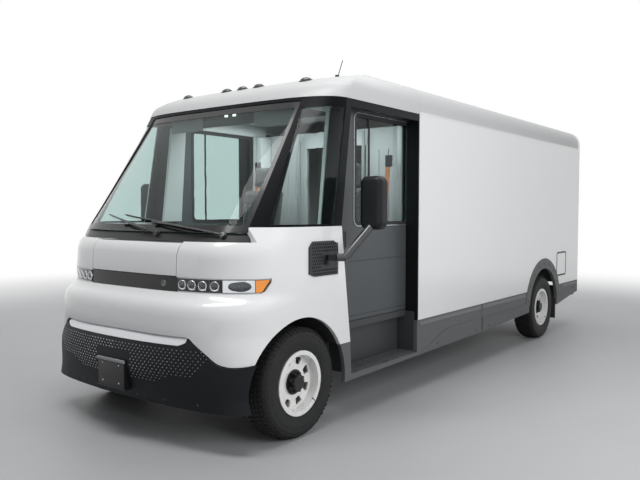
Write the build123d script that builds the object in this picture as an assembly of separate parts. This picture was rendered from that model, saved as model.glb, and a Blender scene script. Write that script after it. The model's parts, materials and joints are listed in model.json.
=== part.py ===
from build123d import *
import math
import os

os.makedirs("parts", exist_ok=True)

# Electric walk-in delivery van.  Millimetres, +Z up, nose towards -Y, the van's left side is +X.
# The origin is on the ground, on the centre plane, halfway along the van.

# Driving dimensions
WHEELBASE = 4620
HALF_WIDTH = 1055            # centre plane to the outside of a body side
NOSE_OVERHANG = 780          # front axle to the front of the number plate holder
TAIL_OVERHANG = 1340         # rear axle to the rearmost point of the step bumper
BODY_TAIL = 1310             # rear axle to the outside of the rear doors
TYRE_RADIUS = 375
TYRE_WIDTH = 225
RIM_RADIUS = 205             # bead seat of a 16 inch rim
WHEEL_FACE = HALF_WIDTH - 15         # centre plane to the outer face of a tyre
FLOOR_TOP = 690
SILL_TOP = 605               # lower edge of the painted body sides
EAVES = 2365                 # lower edge of the roof panels
ROOF_TOP = 2630

# Clearances
RUNNING = 0.05               # radial play of a shaft in its bore
REST_GAP = 0.3               # between a moving piece and the one it runs on
PANEL_GAP = 5                # open seam between two panels
MOVE_GAP = 6                 # least gap round a door or lid

# Values worked out from the ones above
LENGTH = NOSE_OVERHANG + WHEELBASE + TAIL_OVERHANG
FRONT_AXLE_Y = NOSE_OVERHANG - LENGTH / 2
REAR_AXLE_Y = FRONT_AXLE_Y + WHEELBASE
TAIL_Y = REAR_AXLE_Y + BODY_TAIL
AXLE_Z = TYRE_RADIUS
WHEEL_CENTRE_X = WHEEL_FACE - TYRE_WIDTH / 2
SIDE_WALL = 40               # thickness of a body side and of the door surround
SIDES = (1, -1)
SIDE_NAME = {1: "left", -1: "right"}


def behind(distance):
    """Y of a place measured rearwards from the front axle."""
    return FRONT_AXLE_Y + distance


def block(x, y, z):
    """A box between two values on each axis."""
    size = (x[1] - x[0], y[1] - y[0], z[1] - z[0])
    middle = ((x[0] + x[1]) / 2, (y[0] + y[1]) / 2, (z[0] + z[1]) / 2)
    return Pos(*middle) * Box(*size)


def side_plate(points, x):
    """A plate seen from the side: a (y, z) outline filled between two X values."""
    outline = Plane.YZ * make_face(Polyline(*points, close=True))
    return Pos(x[0], 0, 0) * extrude(outline, x[1] - x[0])


def front_plate(points, y):
    """A plate seen from the front: an (x, z) outline filled between two Y values."""
    outline = Plane.XZ * make_face(Polyline(*points, close=True))
    return Pos(0, y[1], 0) * extrude(outline, y[1] - y[0])


def across(radius, x, y, z):
    """A cylinder that lies along X between two X values."""
    return Pos((x[0] + x[1]) / 2, y, z) * Rot(0, 90, 0) * Cylinder(radius, x[1] - x[0])


def upright(radius, x, y, z):
    """A cylinder that stands along Z between two Z values."""
    return Pos(x, y, (z[0] + z[1]) / 2) * Cylinder(radius, z[1] - z[0])


def mirrored(shape, side):
    """A shape drawn for the left side, on the side asked for."""
    return shape if side > 0 else mirror(shape, about=Plane.YZ)


def save(name, shape):
    """Write one sub-part."""
    solids = shape.solids() if hasattr(shape, "solids") else list(shape)
    whole = solids[0] if len(solids) == 1 else Compound(children=list(solids))
    whole.label = name
    export_step(whole, f"parts/{name}.step")


# ---------------------------------------------------------------- shape of the cab nose
# Each level of the nose is a superellipse in plan: height, front of the centre line behind the front
# axle, where the curve meets the flat side behind the front axle, how square its corners are, and how
# much farther back the front is swept at its corners.
SIDE_START = 100
BUMPER_BOTTOM = 270
CREST_Z = 860                # top of the upright nose face, where the ledge under the light bar begins
BAR_BOTTOM = 1008
BAR_TOP = 1106
HOOD_TOP = 1334
GLASS_BOTTOM = 1392
GLASS_TOP = 2325
NOSE_LEVELS = (
    (540, -745, SIDE_START, 5.2, 150),
    (740, -720, SIDE_START, 3.5, 0),
    (CREST_Z, -720, SIDE_START, 3.5, 0),
    (900, -712, SIDE_START, 3.5, 0),
    (934, -695, SIDE_START, 3.5, 0),
    (962, -660, SIDE_START, 3.4, 0),
    (984, -622, SIDE_START, 3.3, 0),
    (BAR_BOTTOM, -605, SIDE_START, 3.3, 0),
    (BAR_TOP, -605, SIDE_START, 3.3, 0),
    (1250, -600, SIDE_START, 3.2, 0),
    (1300, -578, SIDE_START, 3.2, 0),
    (HOOD_TOP, -540, SIDE_START, 3.2, 0),
    (EAVES, 254, 605, 3.7, 0),
)
BUMPER_LEVELS = (
    (BUMPER_BOTTOM, -680, SIDE_START, 9, 100),
    (360, -730, SIDE_START, 7, 150),
    (520, -762, SIDE_START, 6, 170),
    (660, -752, SIDE_START, 6, 170),
    (700, -735, SIDE_START, 5.5, 140),
    (750, -689, SIDE_START, 5, 90),
)
ROOF_LEVELS = (
    (2347, 240, 596, 3.7, 0),
    (2365, 252, 604, 3.7, 0),
    (2400, 272, 620, 3.7, 0),
    (2440, 315, 650, 3.7, 0),
    (2485, 405, 740, 3.7, 0),
    (2520, 500, 830, 3.7, 0),
    (2550, 620, 950, 3.7, 0),
    (2580, 760, 1090, 3.7, 0),
    (2600, 870, 1200, 3.7, 0),
    (2617, 1000, 1330, 3.7, 0),
    (ROOF_TOP + 10, 1220, 1550, 3.7, 0),
)
# The seam between the painted nose and the bumper, seen from the front, from the middle outwards
LOWER_SEAM = ((HALF_WIDTH - 415, 740), (HALF_WIDTH - 355, 708), (HALF_WIDTH - 270, 636),
              (HALF_WIDTH - 220, 592), (HALF_WIDTH - 175, 569), (HALF_WIDTH - 115, 560),
              (HALF_WIDTH - 55, 566), (HALF_WIDTH + 10, 580))
LOWER_SEAM_GAP = 4
PLAN_STEPS = 8


def plan_section(level, inset):
    """A closed plan outline of the nose, moved inwards by inset, as a face."""
    height, front, side_start, squareness, sweep = level
    width = HALF_WIDTH - inset
    depth = side_start - front - inset
    points = []
    for step in range(-PLAN_STEPS, PLAN_STEPS + 1):
        share = step / PLAN_STEPS
        angle = math.pi / 2 * (share - math.sin(2 * math.pi * share) / (2 * math.pi))
        across_part = abs(math.sin(angle)) ** (2 / squareness)
        along_part = abs(math.cos(angle)) ** (2 / squareness)
        reach = depth - sweep * across_part ** 2
        points.append((math.copysign(across_part, step) * width, behind(side_start - reach * along_part)))
    nose = Spline(*points, tangents=((0, -1), (0, 1)))
    back = behind(1800)
    rest = Polyline(points[-1], (width, back), (-width, back), points[0])
    return Pos(0, 0, height) * make_face(nose + rest)


def nose_solid(levels, inset):
    """The whole front of the van as one block, its faces moved inwards by inset."""
    return loft([plan_section(level, inset) for level in levels], ruled=True)


def nose_shell(levels, outer, inner):
    """A skin of the nose between two insets."""
    return nose_solid(levels, outer) - nose_solid(levels, inner)


CAB_SKIN = 30
BUMPER_SKIN = 35
cab_shell = nose_shell(NOSE_LEVELS, 0, CAB_SKIN)
bumper_shell = nose_shell(BUMPER_LEVELS, 0, BUMPER_SKIN)

# ---------------------------------------------------------------- lines that split the cab panels
WINDOW_SILL = 1430
FENDER_SEAM = ((behind(-326), WINDOW_SILL), (behind(-191), 786), (behind(-191), 545))
DOOR_FRONT = ((behind(549), EAVES), (behind(434), WINDOW_SILL), (behind(545), 577))
ARCH_RADIUS = 479
ARCH_Z = 343
# Outer edges of the windscreen glass and of the pillar beside it, low and high
PILLAR_X = ((HALF_WIDTH - 182, GLASS_BOTTOM), (HALF_WIDTH - 241, GLASS_TOP))
PILLAR_OUTER_X = ((HALF_WIDTH - 92, GLASS_BOTTOM), (HALF_WIDTH - 219, GLASS_TOP))
DOOR_REAR = behind(1550)
HOOD_HALF = 460
HOOD_TOP_GAP = 10
HOOD_PIN = (behind(-521), HOOD_TOP - 12)
HOOD_PIN_R = 3


def screen_zone(edge, y=(behind(-900), behind(640))):
    """The tapered area between two leaning lines, seen from the front."""
    (low_x, low_z), (high_x, high_z) = edge
    return front_plate(((-low_x, low_z), (low_x, low_z), (high_x, high_z), (-high_x, high_z)), y)


def front_arch_cut(radius):
    """The round opening over a front wheel, right across the van."""
    return across(radius, (-HALF_WIDTH - 50, HALF_WIDTH + 50), FRONT_AXLE_Y, ARCH_Z)


COWL_INSET = 22
BAR_END = ((behind(-345), BAR_BOTTOM), (behind(-312), BAR_BOTTOM + 14), (behind(-272), BAR_TOP - 25),
           (behind(-272), BAR_TOP))


def lower_seam_zone(shift, height):
    """Area seen from the front between the lower seam, moved up by shift, and some height."""
    points = [(x, z + shift) for x, z in LOWER_SEAM]
    seam = Spline(*points, tangents=((1, 0), (1, 0.15)))
    seam += mirror(seam, about=Plane.YZ)
    (in_x, in_z), (out_x, out_z) = points[0], points[-1]
    seam += Line((-in_x, in_z), (in_x, in_z))
    seam += Polyline((out_x, out_z), (out_x, height), (-out_x, height), (-out_x, out_z))
    return Pos(0, behind(0), 0) * extrude(Plane.XZ * make_face(seam), 1000)


def make_front_panels():
    """Painted nose panel, hood, both front fenders, cowl, light bar and bumper."""
    seam_top, seam_low, seam_end = FENDER_SEAM
    ahead = behind(-1000)
    nose_side = ((ahead, seam_end[1]), (ahead, HOOD_TOP), (seam_top[0] - 10, HOOD_TOP),
                 (seam_top[0] - 10, seam_top[1]), seam_top, seam_low, seam_end)
    nose = cab_shell & side_plate(nose_side, (-HALF_WIDTH, HALF_WIDTH))
    nose = nose & lower_seam_zone(LOWER_SEAM_GAP / 2, 2000)
    bar_side = ((ahead, BAR_BOTTOM), *BAR_END, (ahead, BAR_TOP))
    bar_zone = side_plate(bar_side, (-HALF_WIDTH, HALF_WIDTH))
    hood_zone = block((-HOOD_HALF, HOOD_HALF), (ahead, behind(-285)), (BAR_TOP, HOOD_TOP))
    hood_hole = block((-HOOD_HALF - MOVE_GAP, HOOD_HALF + MOVE_GAP), (ahead, behind(-285)),
                      (BAR_TOP - 1, HOOD_TOP + 1))
    hood = cab_shell & block((-HOOD_HALF, HOOD_HALF), (ahead, behind(-285)),
                             (BAR_TOP + MOVE_GAP, HOOD_TOP - HOOD_TOP_GAP))
    screen = screen_zone(PILLAR_X)
    fascia = nose - bar_zone - hood_hole - screen - front_arch_cut(ARCH_RADIUS)
    for side in SIDES:
        pin = across(HOOD_PIN_R, (HOOD_HALF - 15, HOOD_HALF + 12), *HOOD_PIN)
        bore = across(HOOD_PIN_R + RUNNING, (HOOD_HALF - 1, HOOD_HALF + 14), *HOOD_PIN)
        hood = hood + mirrored(pin, side)
        fascia = fascia - mirrored(bore, side)
    bar = nose_shell(NOSE_LEVELS, 6, 26) & (Pos(0, -3, 0) * bar_zone)
    cowl = nose_shell(NOSE_LEVELS, COWL_INSET, CAB_SKIN + 4) & block(
        (-PILLAR_X[0][0] - 15, PILLAR_X[0][0] + 15), (ahead, behind(-337)), (HOOD_TOP, GLASS_BOTTOM))
    save("front_fascia", fascia)
    save("hood", hood)
    save("light_bar", bar)
    save("cowl_panel", cowl)
    fender_side = (seam_top, DOOR_FRONT[1], DOOR_FRONT[2], (seam_end[0], DOOR_FRONT[2][1]), seam_low)
    for side in SIDES:
        zone = side_plate(fender_side, (600, HALF_WIDTH + 5))
        fender = (cab_shell & zone) - screen - front_arch_cut(ARCH_RADIUS)
        save(f"fender_{SIDE_NAME[side]}", mirrored(fender, side))


make_front_panels()


PLATE_Z = 440
PLATE_HOLES = (178, 121)      # spacing across and up of the four number plate screws
PLATE_HOLE_R = 3.5
PLATE_HOLE_DEPTH = 65


def make_bumper():
    """Front bumper skin with a blank number plate holder at its middle."""
    ends = block((-HALF_WIDTH - 5, HALF_WIDTH + 5), (behind(-1000), behind(-200)), (0, 2000))
    bumper = (bumper_shell & ends & lower_seam_zone(-LOWER_SEAM_GAP / 2, 0)) - front_arch_cut(ARCH_RADIUS)
    plate = block((-150, 150), (behind(-NOSE_OVERHANG), behind(-705)), (340, 545))
    bumper = bumper + plate
    hole_y = behind(PLATE_HOLE_DEPTH / 2 - NOSE_OVERHANG - 5)
    for x in (-PLATE_HOLES[0] / 2, PLATE_HOLES[0] / 2):
        for z in (PLATE_Z - PLATE_HOLES[1] / 2, PLATE_Z + PLATE_HOLES[1] / 2):
            hole = Cylinder(PLATE_HOLE_R, PLATE_HOLE_DEPTH + 10)
            bumper = bumper - Pos(x, hole_y, z) * Rot(90, 0, 0) * hole
    save("front_bumper", bumper)


make_bumper()

# ---------------------------------------------------------------- glass and black frame of the cab
QUARTER_REAR = ((behind(335), 1446), (behind(480), 2288))
QUARTER_TOP_SLOPE = 0.09      # rise of its top edge towards the rear
GLASS = 8
BAND_TOP = 2352


def quarter_rear_y(height):
    """Y of the rear edge of a quarter window at some height."""
    (low_y, low_z), (high_y, high_z) = QUARTER_REAR
    return low_y + (high_y - low_y) * (height - low_z) / (high_z - low_z)


def quarter_zone(margin):
    """Side view of the left quarter window, its rear edge moved back by margin."""
    (low_y, low), (high_y, high) = QUARTER_REAR
    ahead = behind(-700)
    start = high - QUARTER_TOP_SLOPE * (high_y - ahead)
    area = side_plate(((ahead, low), (ahead, start), (high_y + margin, high + QUARTER_TOP_SLOPE * margin),
                       (low_y + margin, low)), (500, HALF_WIDTH + 5))
    return area - screen_zone(PILLAR_OUTER_X)


def make_cab_glass():
    """Windscreen, its black frame with both front pillars, and the two quarter windows."""
    screen = screen_zone(PILLAR_X)
    save("windshield", nose_shell(NOSE_LEVELS, 8, 8 + GLASS) & screen)
    ahead = behind(-900)
    sill = WINDOW_SILL + 1
    frame_zone = side_plate(((ahead, sill), (quarter_rear_y(sill), sill),
                             (quarter_rear_y(BAND_TOP), BAND_TOP), (ahead, BAND_TOP)),
                            (-HALF_WIDTH - 5, HALF_WIDTH + 5))
    frame = (cab_shell & frame_zone) - screen
    panes = []
    for side in SIDES:
        frame = frame - mirrored(quarter_zone(30), side)
        pane = nose_shell(NOSE_LEVELS, 6, 6 + GLASS) & quarter_zone(-1)
        panes.append(mirrored(pane, side).solids()[0])
    save("windshield_frame", frame)
    save("quarter_windows", Compound(children=panes))


make_cab_glass()

# ---------------------------------------------------------------- painted body behind the cab
ROOF_SKIN = 35
ROOF_LAP = 2                 # the cap stands this far out from the windscreen frame
CANT_RADIUS = 170
CANT_TOP = 2600
REAR_ARCH_RADIUS = 475
FLARE_RADIUS = 594
REAR_ARCH_Z = 370
FRAME_DEPTH = 80             # of the portal round the rear doors


def roof_section(inset, bottom):
    """Cross-section of the roof with rounded cant rails, as a face on the XZ plane."""
    wide = HALF_WIDTH - inset
    flat = HALF_WIDTH - CANT_RADIUS
    radius = CANT_RADIUS - inset
    start = (wide, CANT_TOP - CANT_RADIUS)
    corner = (flat + radius * math.sin(math.pi / 4), start[1] + radius * math.cos(math.pi / 4))
    end = (flat, start[1] + radius)
    crown = (0, ROOF_TOP - inset)

    def other(point):
        return (-point[0], point[1])

    outline = Polyline((-wide, bottom), (wide, bottom), start)
    outline += ThreePointArc(start, corner, end)
    outline += ThreePointArc(end, crown, other(end))
    outline += ThreePointArc(other(end), other(corner), other(start))
    outline += Line(other(start), (-wide, bottom))
    return Plane.XZ * make_face(outline)


def roof_block(inset, bottom, y):
    """The roof section pulled along the van between two Y values."""
    return Pos(0, y[1], 0) * extrude(roof_section(inset, bottom), y[1] - y[0])


def cap_solid(inset):
    """The roof cap as one block: the roof section, domed down to the windscreen at its front."""
    body = roof_block(inset, BAND_TOP - 5 - inset, (behind(0), behind(1549)))
    dome = Pos(0, 0, -inset) * nose_solid(ROOF_LEVELS, inset / 2 - ROOF_LAP)
    return body & dome


def make_roofs():
    """Roof cap over the cab and the long roof over the load space."""
    cap = cap_solid(0) - cap_solid(ROOF_SKIN)
    cap = cap & block((-2000, 2000), (behind(0), behind(1548)), (BAND_TOP, 3000))
    save("cab_roof", cap)
    body_y = (behind(1550), TAIL_Y - FRAME_DEPTH)
    roof = roof_block(0, EAVES, body_y) - roof_block(ROOF_SKIN, EAVES - 1, body_y)
    save("cargo_roof", roof)


STEP_Z = 345                 # top of the entry steps
CHARGE_Y = (REAR_AXLE_Y + 480, REAR_AXLE_Y + 790)
CHARGE_Z = (736, 998)
CHARGE_CORNER = 25
CHARGE_PIN = (HALF_WIDTH - 5.5, CHARGE_Y[0] + 4.5)
CHARGE_PIN_R = 2
CHARGE_PIN_END = 16          # the hinge pin reaches this far past the door at both ends
HINGE_RELIEF = 4             # extra room in front of the hinge edge for the opened door


def charge_door_shape(grow, x):
    """Rounded plate of the charge port door, made larger by grow on every edge."""
    wide = CHARGE_Y[1] - CHARGE_Y[0] + 2 * grow
    tall = CHARGE_Z[1] - CHARGE_Z[0] + 2 * grow
    outline = Plane.YZ * RectangleRounded(wide, tall, CHARGE_CORNER + grow)
    middle = ((CHARGE_Y[0] + CHARGE_Y[1]) / 2, (CHARGE_Z[0] + CHARGE_Z[1]) / 2)
    return Pos(x[0], middle[0], middle[1]) * extrude(outline, x[1] - x[0])


def make_sides():
    """Painted body sides, the charge port door on the left one, and the lower cladding."""
    wall = (HALF_WIDTH - SIDE_WALL, HALF_WIDTH)
    arch_x = (HALF_WIDTH - 155, HALF_WIDTH + 145)
    for side in SIDES:
        panel = block(wall, (DOOR_REAR, TAIL_Y - FRAME_DEPTH), (SILL_TOP + 3, EAVES))
        panel = panel - across(FLARE_RADIUS + 3, arch_x, REAR_AXLE_Y, REAR_ARCH_Z)
        if side > 0:
            panel = panel - charge_door_shape(MOVE_GAP, (HALF_WIDTH - 14, HALF_WIDTH + 5))
            panel = panel - charge_door_shape(-20, (HALF_WIDTH - 32, HALF_WIDTH))
            relief = block((HALF_WIDTH - 14, HALF_WIDTH + 5),
                           (CHARGE_Y[0] - MOVE_GAP - HINGE_RELIEF, CHARGE_Y[0] + CHARGE_CORNER),
                           (CHARGE_Z[0] - MOVE_GAP, CHARGE_Z[1] + MOVE_GAP))
            bore_z = (CHARGE_Z[0] - CHARGE_PIN_END - 2, CHARGE_Z[1] + CHARGE_PIN_END + 2)
            panel = panel - relief - upright(CHARGE_PIN_R + RUNNING, *CHARGE_PIN, bore_z)
        save(f"cargo_side_{SIDE_NAME[side]}", mirrored(panel, side))
        skirt_line = ((behind(440), 300), (behind(470), 290), (behind(2830), 323), (REAR_AXLE_Y - 470, 366),
                      (REAR_AXLE_Y + 490, 356), (REAR_AXLE_Y + 1170, 440), (TAIL_Y - 4, 450),
                      (TAIL_Y - 4, SILL_TOP), (DOOR_REAR - 15, SILL_TOP), (DOOR_REAR - 15, STEP_Z - 10),
                      (behind(560), STEP_Z - 10), (behind(545), 573), (behind(400), 573))
        skirt = side_plate(skirt_line, (HALF_WIDTH - 30, HALF_WIDTH))
        skirt = skirt - front_arch_cut(ARCH_RADIUS)
        flare = across(FLARE_RADIUS, (HALF_WIDTH - 30, HALF_WIDTH + 6), REAR_AXLE_Y, REAR_ARCH_Z)
        flare = flare & block(arch_x, (REAR_AXLE_Y - 700, REAR_AXLE_Y + 700), (SILL_TOP - 160, 1100))
        skirt = skirt + flare - across(REAR_ARCH_RADIUS, arch_x, REAR_AXLE_Y, REAR_ARCH_Z)
        flap_y = REAR_AXLE_Y + REAR_ARCH_RADIUS
        flap = block((WHEEL_FACE - 260, HALF_WIDTH - 20), (flap_y, flap_y + 12), (180, 560))
        save(f"skirt_{SIDE_NAME[side]}", mirrored(skirt + flap, side))
    lid = charge_door_shape(0, (HALF_WIDTH - 10, HALF_WIDTH - 1))
    pin_ends = (CHARGE_Z[0] - CHARGE_PIN_END, CHARGE_Z[1] + CHARGE_PIN_END)
    lid = lid + upright(CHARGE_PIN_R, *CHARGE_PIN, pin_ends)
    save("charge_port_door", lid)


make_roofs()
make_sides()

# ---------------------------------------------------------------- side doorways
DOOR_X = (HALF_WIDTH - 160, HALF_WIDTH - 120)
SLIDE_FRONT = behind(580)
SLIDE_REAR = behind(1680)
DOOR_BOTTOM = 700
DOOR_TOP = 2300
DOOR_TRAVEL = 950
TRACK_END = SLIDE_REAR + DOOR_TRAVEL + 20
DOOR_WINDOW = ((behind(774), 1442), (behind(1573), 2268))


def make_doorways():
    """Black surrounds, sliding doors with their glass, and the tracks that carry the doors."""
    header = BAND_TOP - 60
    tracks = []
    for side in SIDES:
        front = (DOOR_FRONT[0][0], BAND_TOP)
        sill = DOOR_FRONT[1]
        low = DOOR_FRONT[2]
        plate = side_plate((
            (quarter_rear_y(BAND_TOP) + 2, BAND_TOP), (quarter_rear_y(WINDOW_SILL + 2) + 2, WINDOW_SILL + 2),
            (sill[0] - 1, WINDOW_SILL + 2), sill, (front[0], header), (DOOR_REAR - 15, header),
            (DOOR_REAR - 15, SILL_TOP + 2), (DOOR_REAR - 2, SILL_TOP + 2), (DOOR_REAR - 2, BAND_TOP)),
            (HALF_WIDTH - SIDE_WALL, HALF_WIDTH - 1))
        reveal = side_plate((
            (front[0] - 40, header + 5), (sill[0] - 40, sill[1]), (low[0] - 40, low[1]), (low[0] - 40, 575),
            low, sill, (front[0], header + 5)), (DOOR_X[1] + MOVE_GAP, HALF_WIDTH - CAB_SKIN - 1))
        stop = side_plate((
            (front[0] - 40, header + 5), (sill[0] - 40, sill[1]), (low[0] - 40, DOOR_BOTTOM),
            (SLIDE_FRONT - PANEL_GAP, DOOR_BOTTOM), (SLIDE_FRONT - PANEL_GAP, header + 5)),
            (DOOR_X[0], DOOR_X[1] + MOVE_GAP))
        jamb = block((DOOR_X[1] + MOVE_GAP, HALF_WIDTH - SIDE_WALL), (DOOR_REAR - 15, DOOR_REAR + 40),
                     (STEP_Z + 2, DOOR_TOP))
        save(f"door_surround_{SIDE_NAME[side]}", mirrored(plate + reveal + stop + jamb, side))

        door = block(DOOR_X, (SLIDE_FRONT, SLIDE_REAR), (DOOR_BOTTOM + REST_GAP, DOOR_TOP))
        pane_y = (DOOR_WINDOW[0][0], DOOR_WINDOW[1][0])
        pane_z = (DOOR_WINDOW[0][1], DOOR_WINDOW[1][1])
        window = block((DOOR_X[0] - 5, DOOR_X[1] + 5), pane_y, pane_z)
        window = fillet(window.edges().filter_by(Axis.X), 40)
        rebate = block((DOOR_X[1] - 14, DOOR_X[1] - 6), (pane_y[0] - 12, pane_y[1] + 12),
                       (pane_z[0] - 12, pane_z[1] + 12))
        save(f"sliding_door_{SIDE_NAME[side]}", mirrored(door - window - rebate, side))
        save(f"sliding_door_glass_{SIDE_NAME[side]}", mirrored(rebate, side))

        lower = block((DOOR_X[0] + 10, DOOR_X[1] - 10), (SLIDE_FRONT - 60, TRACK_END),
                      (FLOOR_TOP, DOOR_BOTTOM))
        upper = block((DOOR_X[0] + 5, HALF_WIDTH - SIDE_WALL), (SLIDE_FRONT - 60, TRACK_END),
                      (DOOR_TOP + REST_GAP, DOOR_TOP + 25))
        tracks += [mirrored(lower, side), mirrored(upper, side)]
    save("door_tracks", Compound(children=tracks))


make_doorways()

# ---------------------------------------------------------------- rear end
REAR_OPENING = (HALF_WIDTH - 95, FLOOR_TOP - 15, 2300)        # half width, bottom, top
REAR_DOOR = 45
REAR_HINGE_X = HALF_WIDTH - 87
REAR_HINGE_OUT = 12
REAR_HINGES = (725, 1430, 2185)            # lower ends of the three hinges


def make_rear():
    """Portal, twin rear doors on outside hinges, tail lamps and step bumper."""
    half, bottom, top = REAR_OPENING
    portal_y = (TAIL_Y - FRAME_DEPTH, TAIL_Y)
    portal = roof_block(0, SILL_TOP + 3, portal_y)
    portal = portal - block((-half, half), (portal_y[0] - 5, portal_y[1] + 5), (bottom, top))
    portal = portal - block((-half - 40, half + 40), (portal_y[0] - 5, TAIL_Y - REAR_DOOR - 5),
                            (bottom - 200, FLOOR_TOP))
    inner = block((3, half - PANEL_GAP), (TAIL_Y - REAR_DOOR, TAIL_Y), (bottom + PANEL_GAP, top - PANEL_GAP))
    hinge_y = TAIL_Y + REAR_HINGE_OUT
    for low in REAR_HINGES:
        split = low + 40
        knuckle = upright(10, REAR_HINGE_X, hinge_y, (low, split))
        leaf = block((REAR_HINGE_X, REAR_HINGE_X + 40), (TAIL_Y, TAIL_Y + 8), (low, split))
        for side in SIDES:
            portal = portal + mirrored(knuckle + leaf, side)
        moving = upright(10, REAR_HINGE_X, hinge_y, (split + REST_GAP, split + 40))
        strap = block((REAR_HINGE_X - 70, REAR_HINGE_X), (TAIL_Y, TAIL_Y + 8), (split + REST_GAP, split + 40))
        inner = inner + moving + strap
    save("rear_frame", portal)
    for side in SIDES:
        save(f"rear_door_{SIDE_NAME[side]}", mirrored(inner, side))
    lamps = []
    for side in SIDES:
        for low in (820, 1120):
            lamp = block((HALF_WIDTH - 70, HALF_WIDTH - 10), (TAIL_Y, TAIL_Y + 10), (low, low + 240))
            lamps.append(mirrored(lamp, side))
    save("tail_lamps", Compound(children=lamps))
    step_half = HALF_WIDTH - 55
    step = block((-step_half, step_half), (TAIL_Y - 60, REAR_AXLE_Y + TAIL_OVERHANG), (400, 500))
    stays = [block((x - 40, x + 40), (TAIL_Y - 200, TAIL_Y - 60), (490, 500)) for x in (RAIL_X, -RAIL_X)]
    save("rear_bumper", step + stays[0] + stays[1])


# ---------------------------------------------------------------- chassis
RAIL_X = 430
RAIL_WIDTH = 70
RAIL_Z = (500, 640)
JACK_PAD = (66, 110, 8)       # lifting pad under each rail
CROSS_MEMBERS = (-380, 700, 1900, 3100, 3950, 5300)


def make_chassis():
    """Ladder frame with cross members, battery pack under it and the front drive unit."""
    frame = None
    for side in SIDES:
        rail = block((RAIL_X - RAIL_WIDTH / 2, RAIL_X + RAIL_WIDTH / 2), (behind(-480), TAIL_Y - 85), RAIL_Z)
        rail = mirrored(rail, side)
        frame = rail if frame is None else frame + rail
    for place in CROSS_MEMBERS:
        frame = frame + block((-RAIL_X, RAIL_X), (behind(place - 40), behind(place + 40)),
                              (RAIL_Z[0] + 20, RAIL_Z[1] - 20))
    for side in SIDES:
        for place in (1750, 2750, 3800):
            arm = block((RAIL_X, HALF_WIDTH - SIDE_WALL - 5), (behind(place - 25), behind(place + 25)),
                        (RAIL_Z[1] - 60, RAIL_Z[1]))
            frame = frame + mirrored(arm, side)
        horn = block((RAIL_X - 30, RAIL_X + 30), (behind(-760), behind(-470)), (520, 620))
        horn = horn & nose_solid(BUMPER_LEVELS, BUMPER_SKIN + REST_GAP)
        pad = block((RAIL_X - JACK_PAD[0] / 2, RAIL_X + JACK_PAD[0] / 2),
                    (behind(500 - JACK_PAD[1] / 2), behind(500 + JACK_PAD[1] / 2)),
                    (RAIL_Z[0] - JACK_PAD[2], RAIL_Z[0]))
        frame = frame + mirrored(horn, side) + mirrored(pad, side)
    save("chassis_frame", frame)
    save("battery_pack", block((-640, 640), (behind(880), behind(3800)), (290, RAIL_Z[0])))
    save("front_drive_unit", block((-240, 240), (behind(-215), behind(245)), (SUBFRAME_Z[1], 600)))


SUBFRAME_Z = (AXLE_Z - 120, AXLE_Z - 75)
KINGPIN_X = WHEEL_FACE - 240
KINGPIN_R = 15
KNUCKLE_Z = (AXLE_Z - 105, AXLE_Z + 105)
ARM_THICK = 22
SPINDLE_R = 30
HUB_INNER = WHEEL_FACE - 180
SPINDLE_END = WHEEL_FACE - 40


def make_front_axle():
    """Subframe with its wishbones, and the two steering knuckles that turn on their pins."""
    low = block((-360, 360), (behind(-280), behind(-200)), SUBFRAME_Z)
    low = low + block((-360, 360), (behind(230), behind(310)), SUBFRAME_Z)
    rail_face = RAIL_X + RAIL_WIDTH / 2
    for side in SIDES:
        beam = block((300, 380), (behind(-280), behind(310)), SUBFRAME_Z)
        post_front = block((395, 465), (behind(-280), behind(-220)), (SUBFRAME_Z[0], RAIL_Z[0]))
        post_rear = block((395, 465), (behind(250), behind(310)), (SUBFRAME_Z[0], RAIL_Z[0]))
        foot = block((370, 400), (behind(-280), behind(-220)), SUBFRAME_Z)
        foot_rear = block((370, 400), (behind(250), behind(310)), SUBFRAME_Z)
        under = KNUCKLE_Z[0] - ARM_THICK - 8
        over = KNUCKLE_Z[1] + 8
        arm = wishbone(370, under, (under, KNUCKLE_Z[0] + 45))
        upper = wishbone(rail_face, over, (KNUCKLE_Z[1] - 45, over + ARM_THICK))
        hanger = block((rail_face, rail_face + 20), (behind(-200), behind(200)), (over, RAIL_Z[1] - 10))
        damper = upright(32, rail_face + 45, FRONT_AXLE_Y, (over + 10, RAIL_Z[1] - 10))
        pieces = beam + post_front + post_rear + foot + foot_rear + arm + upper + hanger + damper
        low = low + mirrored(pieces, side)
    save("front_suspension", low)
    for side in SIDES:
        upright_part = block((KINGPIN_X - 40, HUB_INNER - 10), (behind(-45), behind(45)), KNUCKLE_Z)
        upright_part = upright_part + across(60, (HUB_INNER - 20, HUB_INNER - 2), FRONT_AXLE_Y, AXLE_Z)
        spindle = across(SPINDLE_R, (HUB_INNER - 20, SPINDLE_END), FRONT_AXLE_Y, AXLE_Z)
        tie_z = (AXLE_Z - 60, AXLE_Z - 30)
        tie_arm = block((KINGPIN_X - 60, KINGPIN_X - 20), (behind(40), behind(160)), tie_z)
        link = block((KINGPIN_X - 40, KINGPIN_X - 10), (behind(30), behind(60)), tie_z)
        knuckle = upright_part + spindle + tie_arm + link
        knuckle = knuckle - upright(KINGPIN_R + RUNNING, KINGPIN_X, FRONT_AXLE_Y,
                                    (KNUCKLE_Z[0] - 1, KNUCKLE_Z[0] + 50))
        knuckle = knuckle - upright(KINGPIN_R + RUNNING, KINGPIN_X, FRONT_AXLE_Y,
                                    (KNUCKLE_Z[1] - 50, KNUCKLE_Z[1] + 1))
        save(f"steering_knuckle_{SIDE_NAME[side]}", mirrored(knuckle, side))


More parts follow.
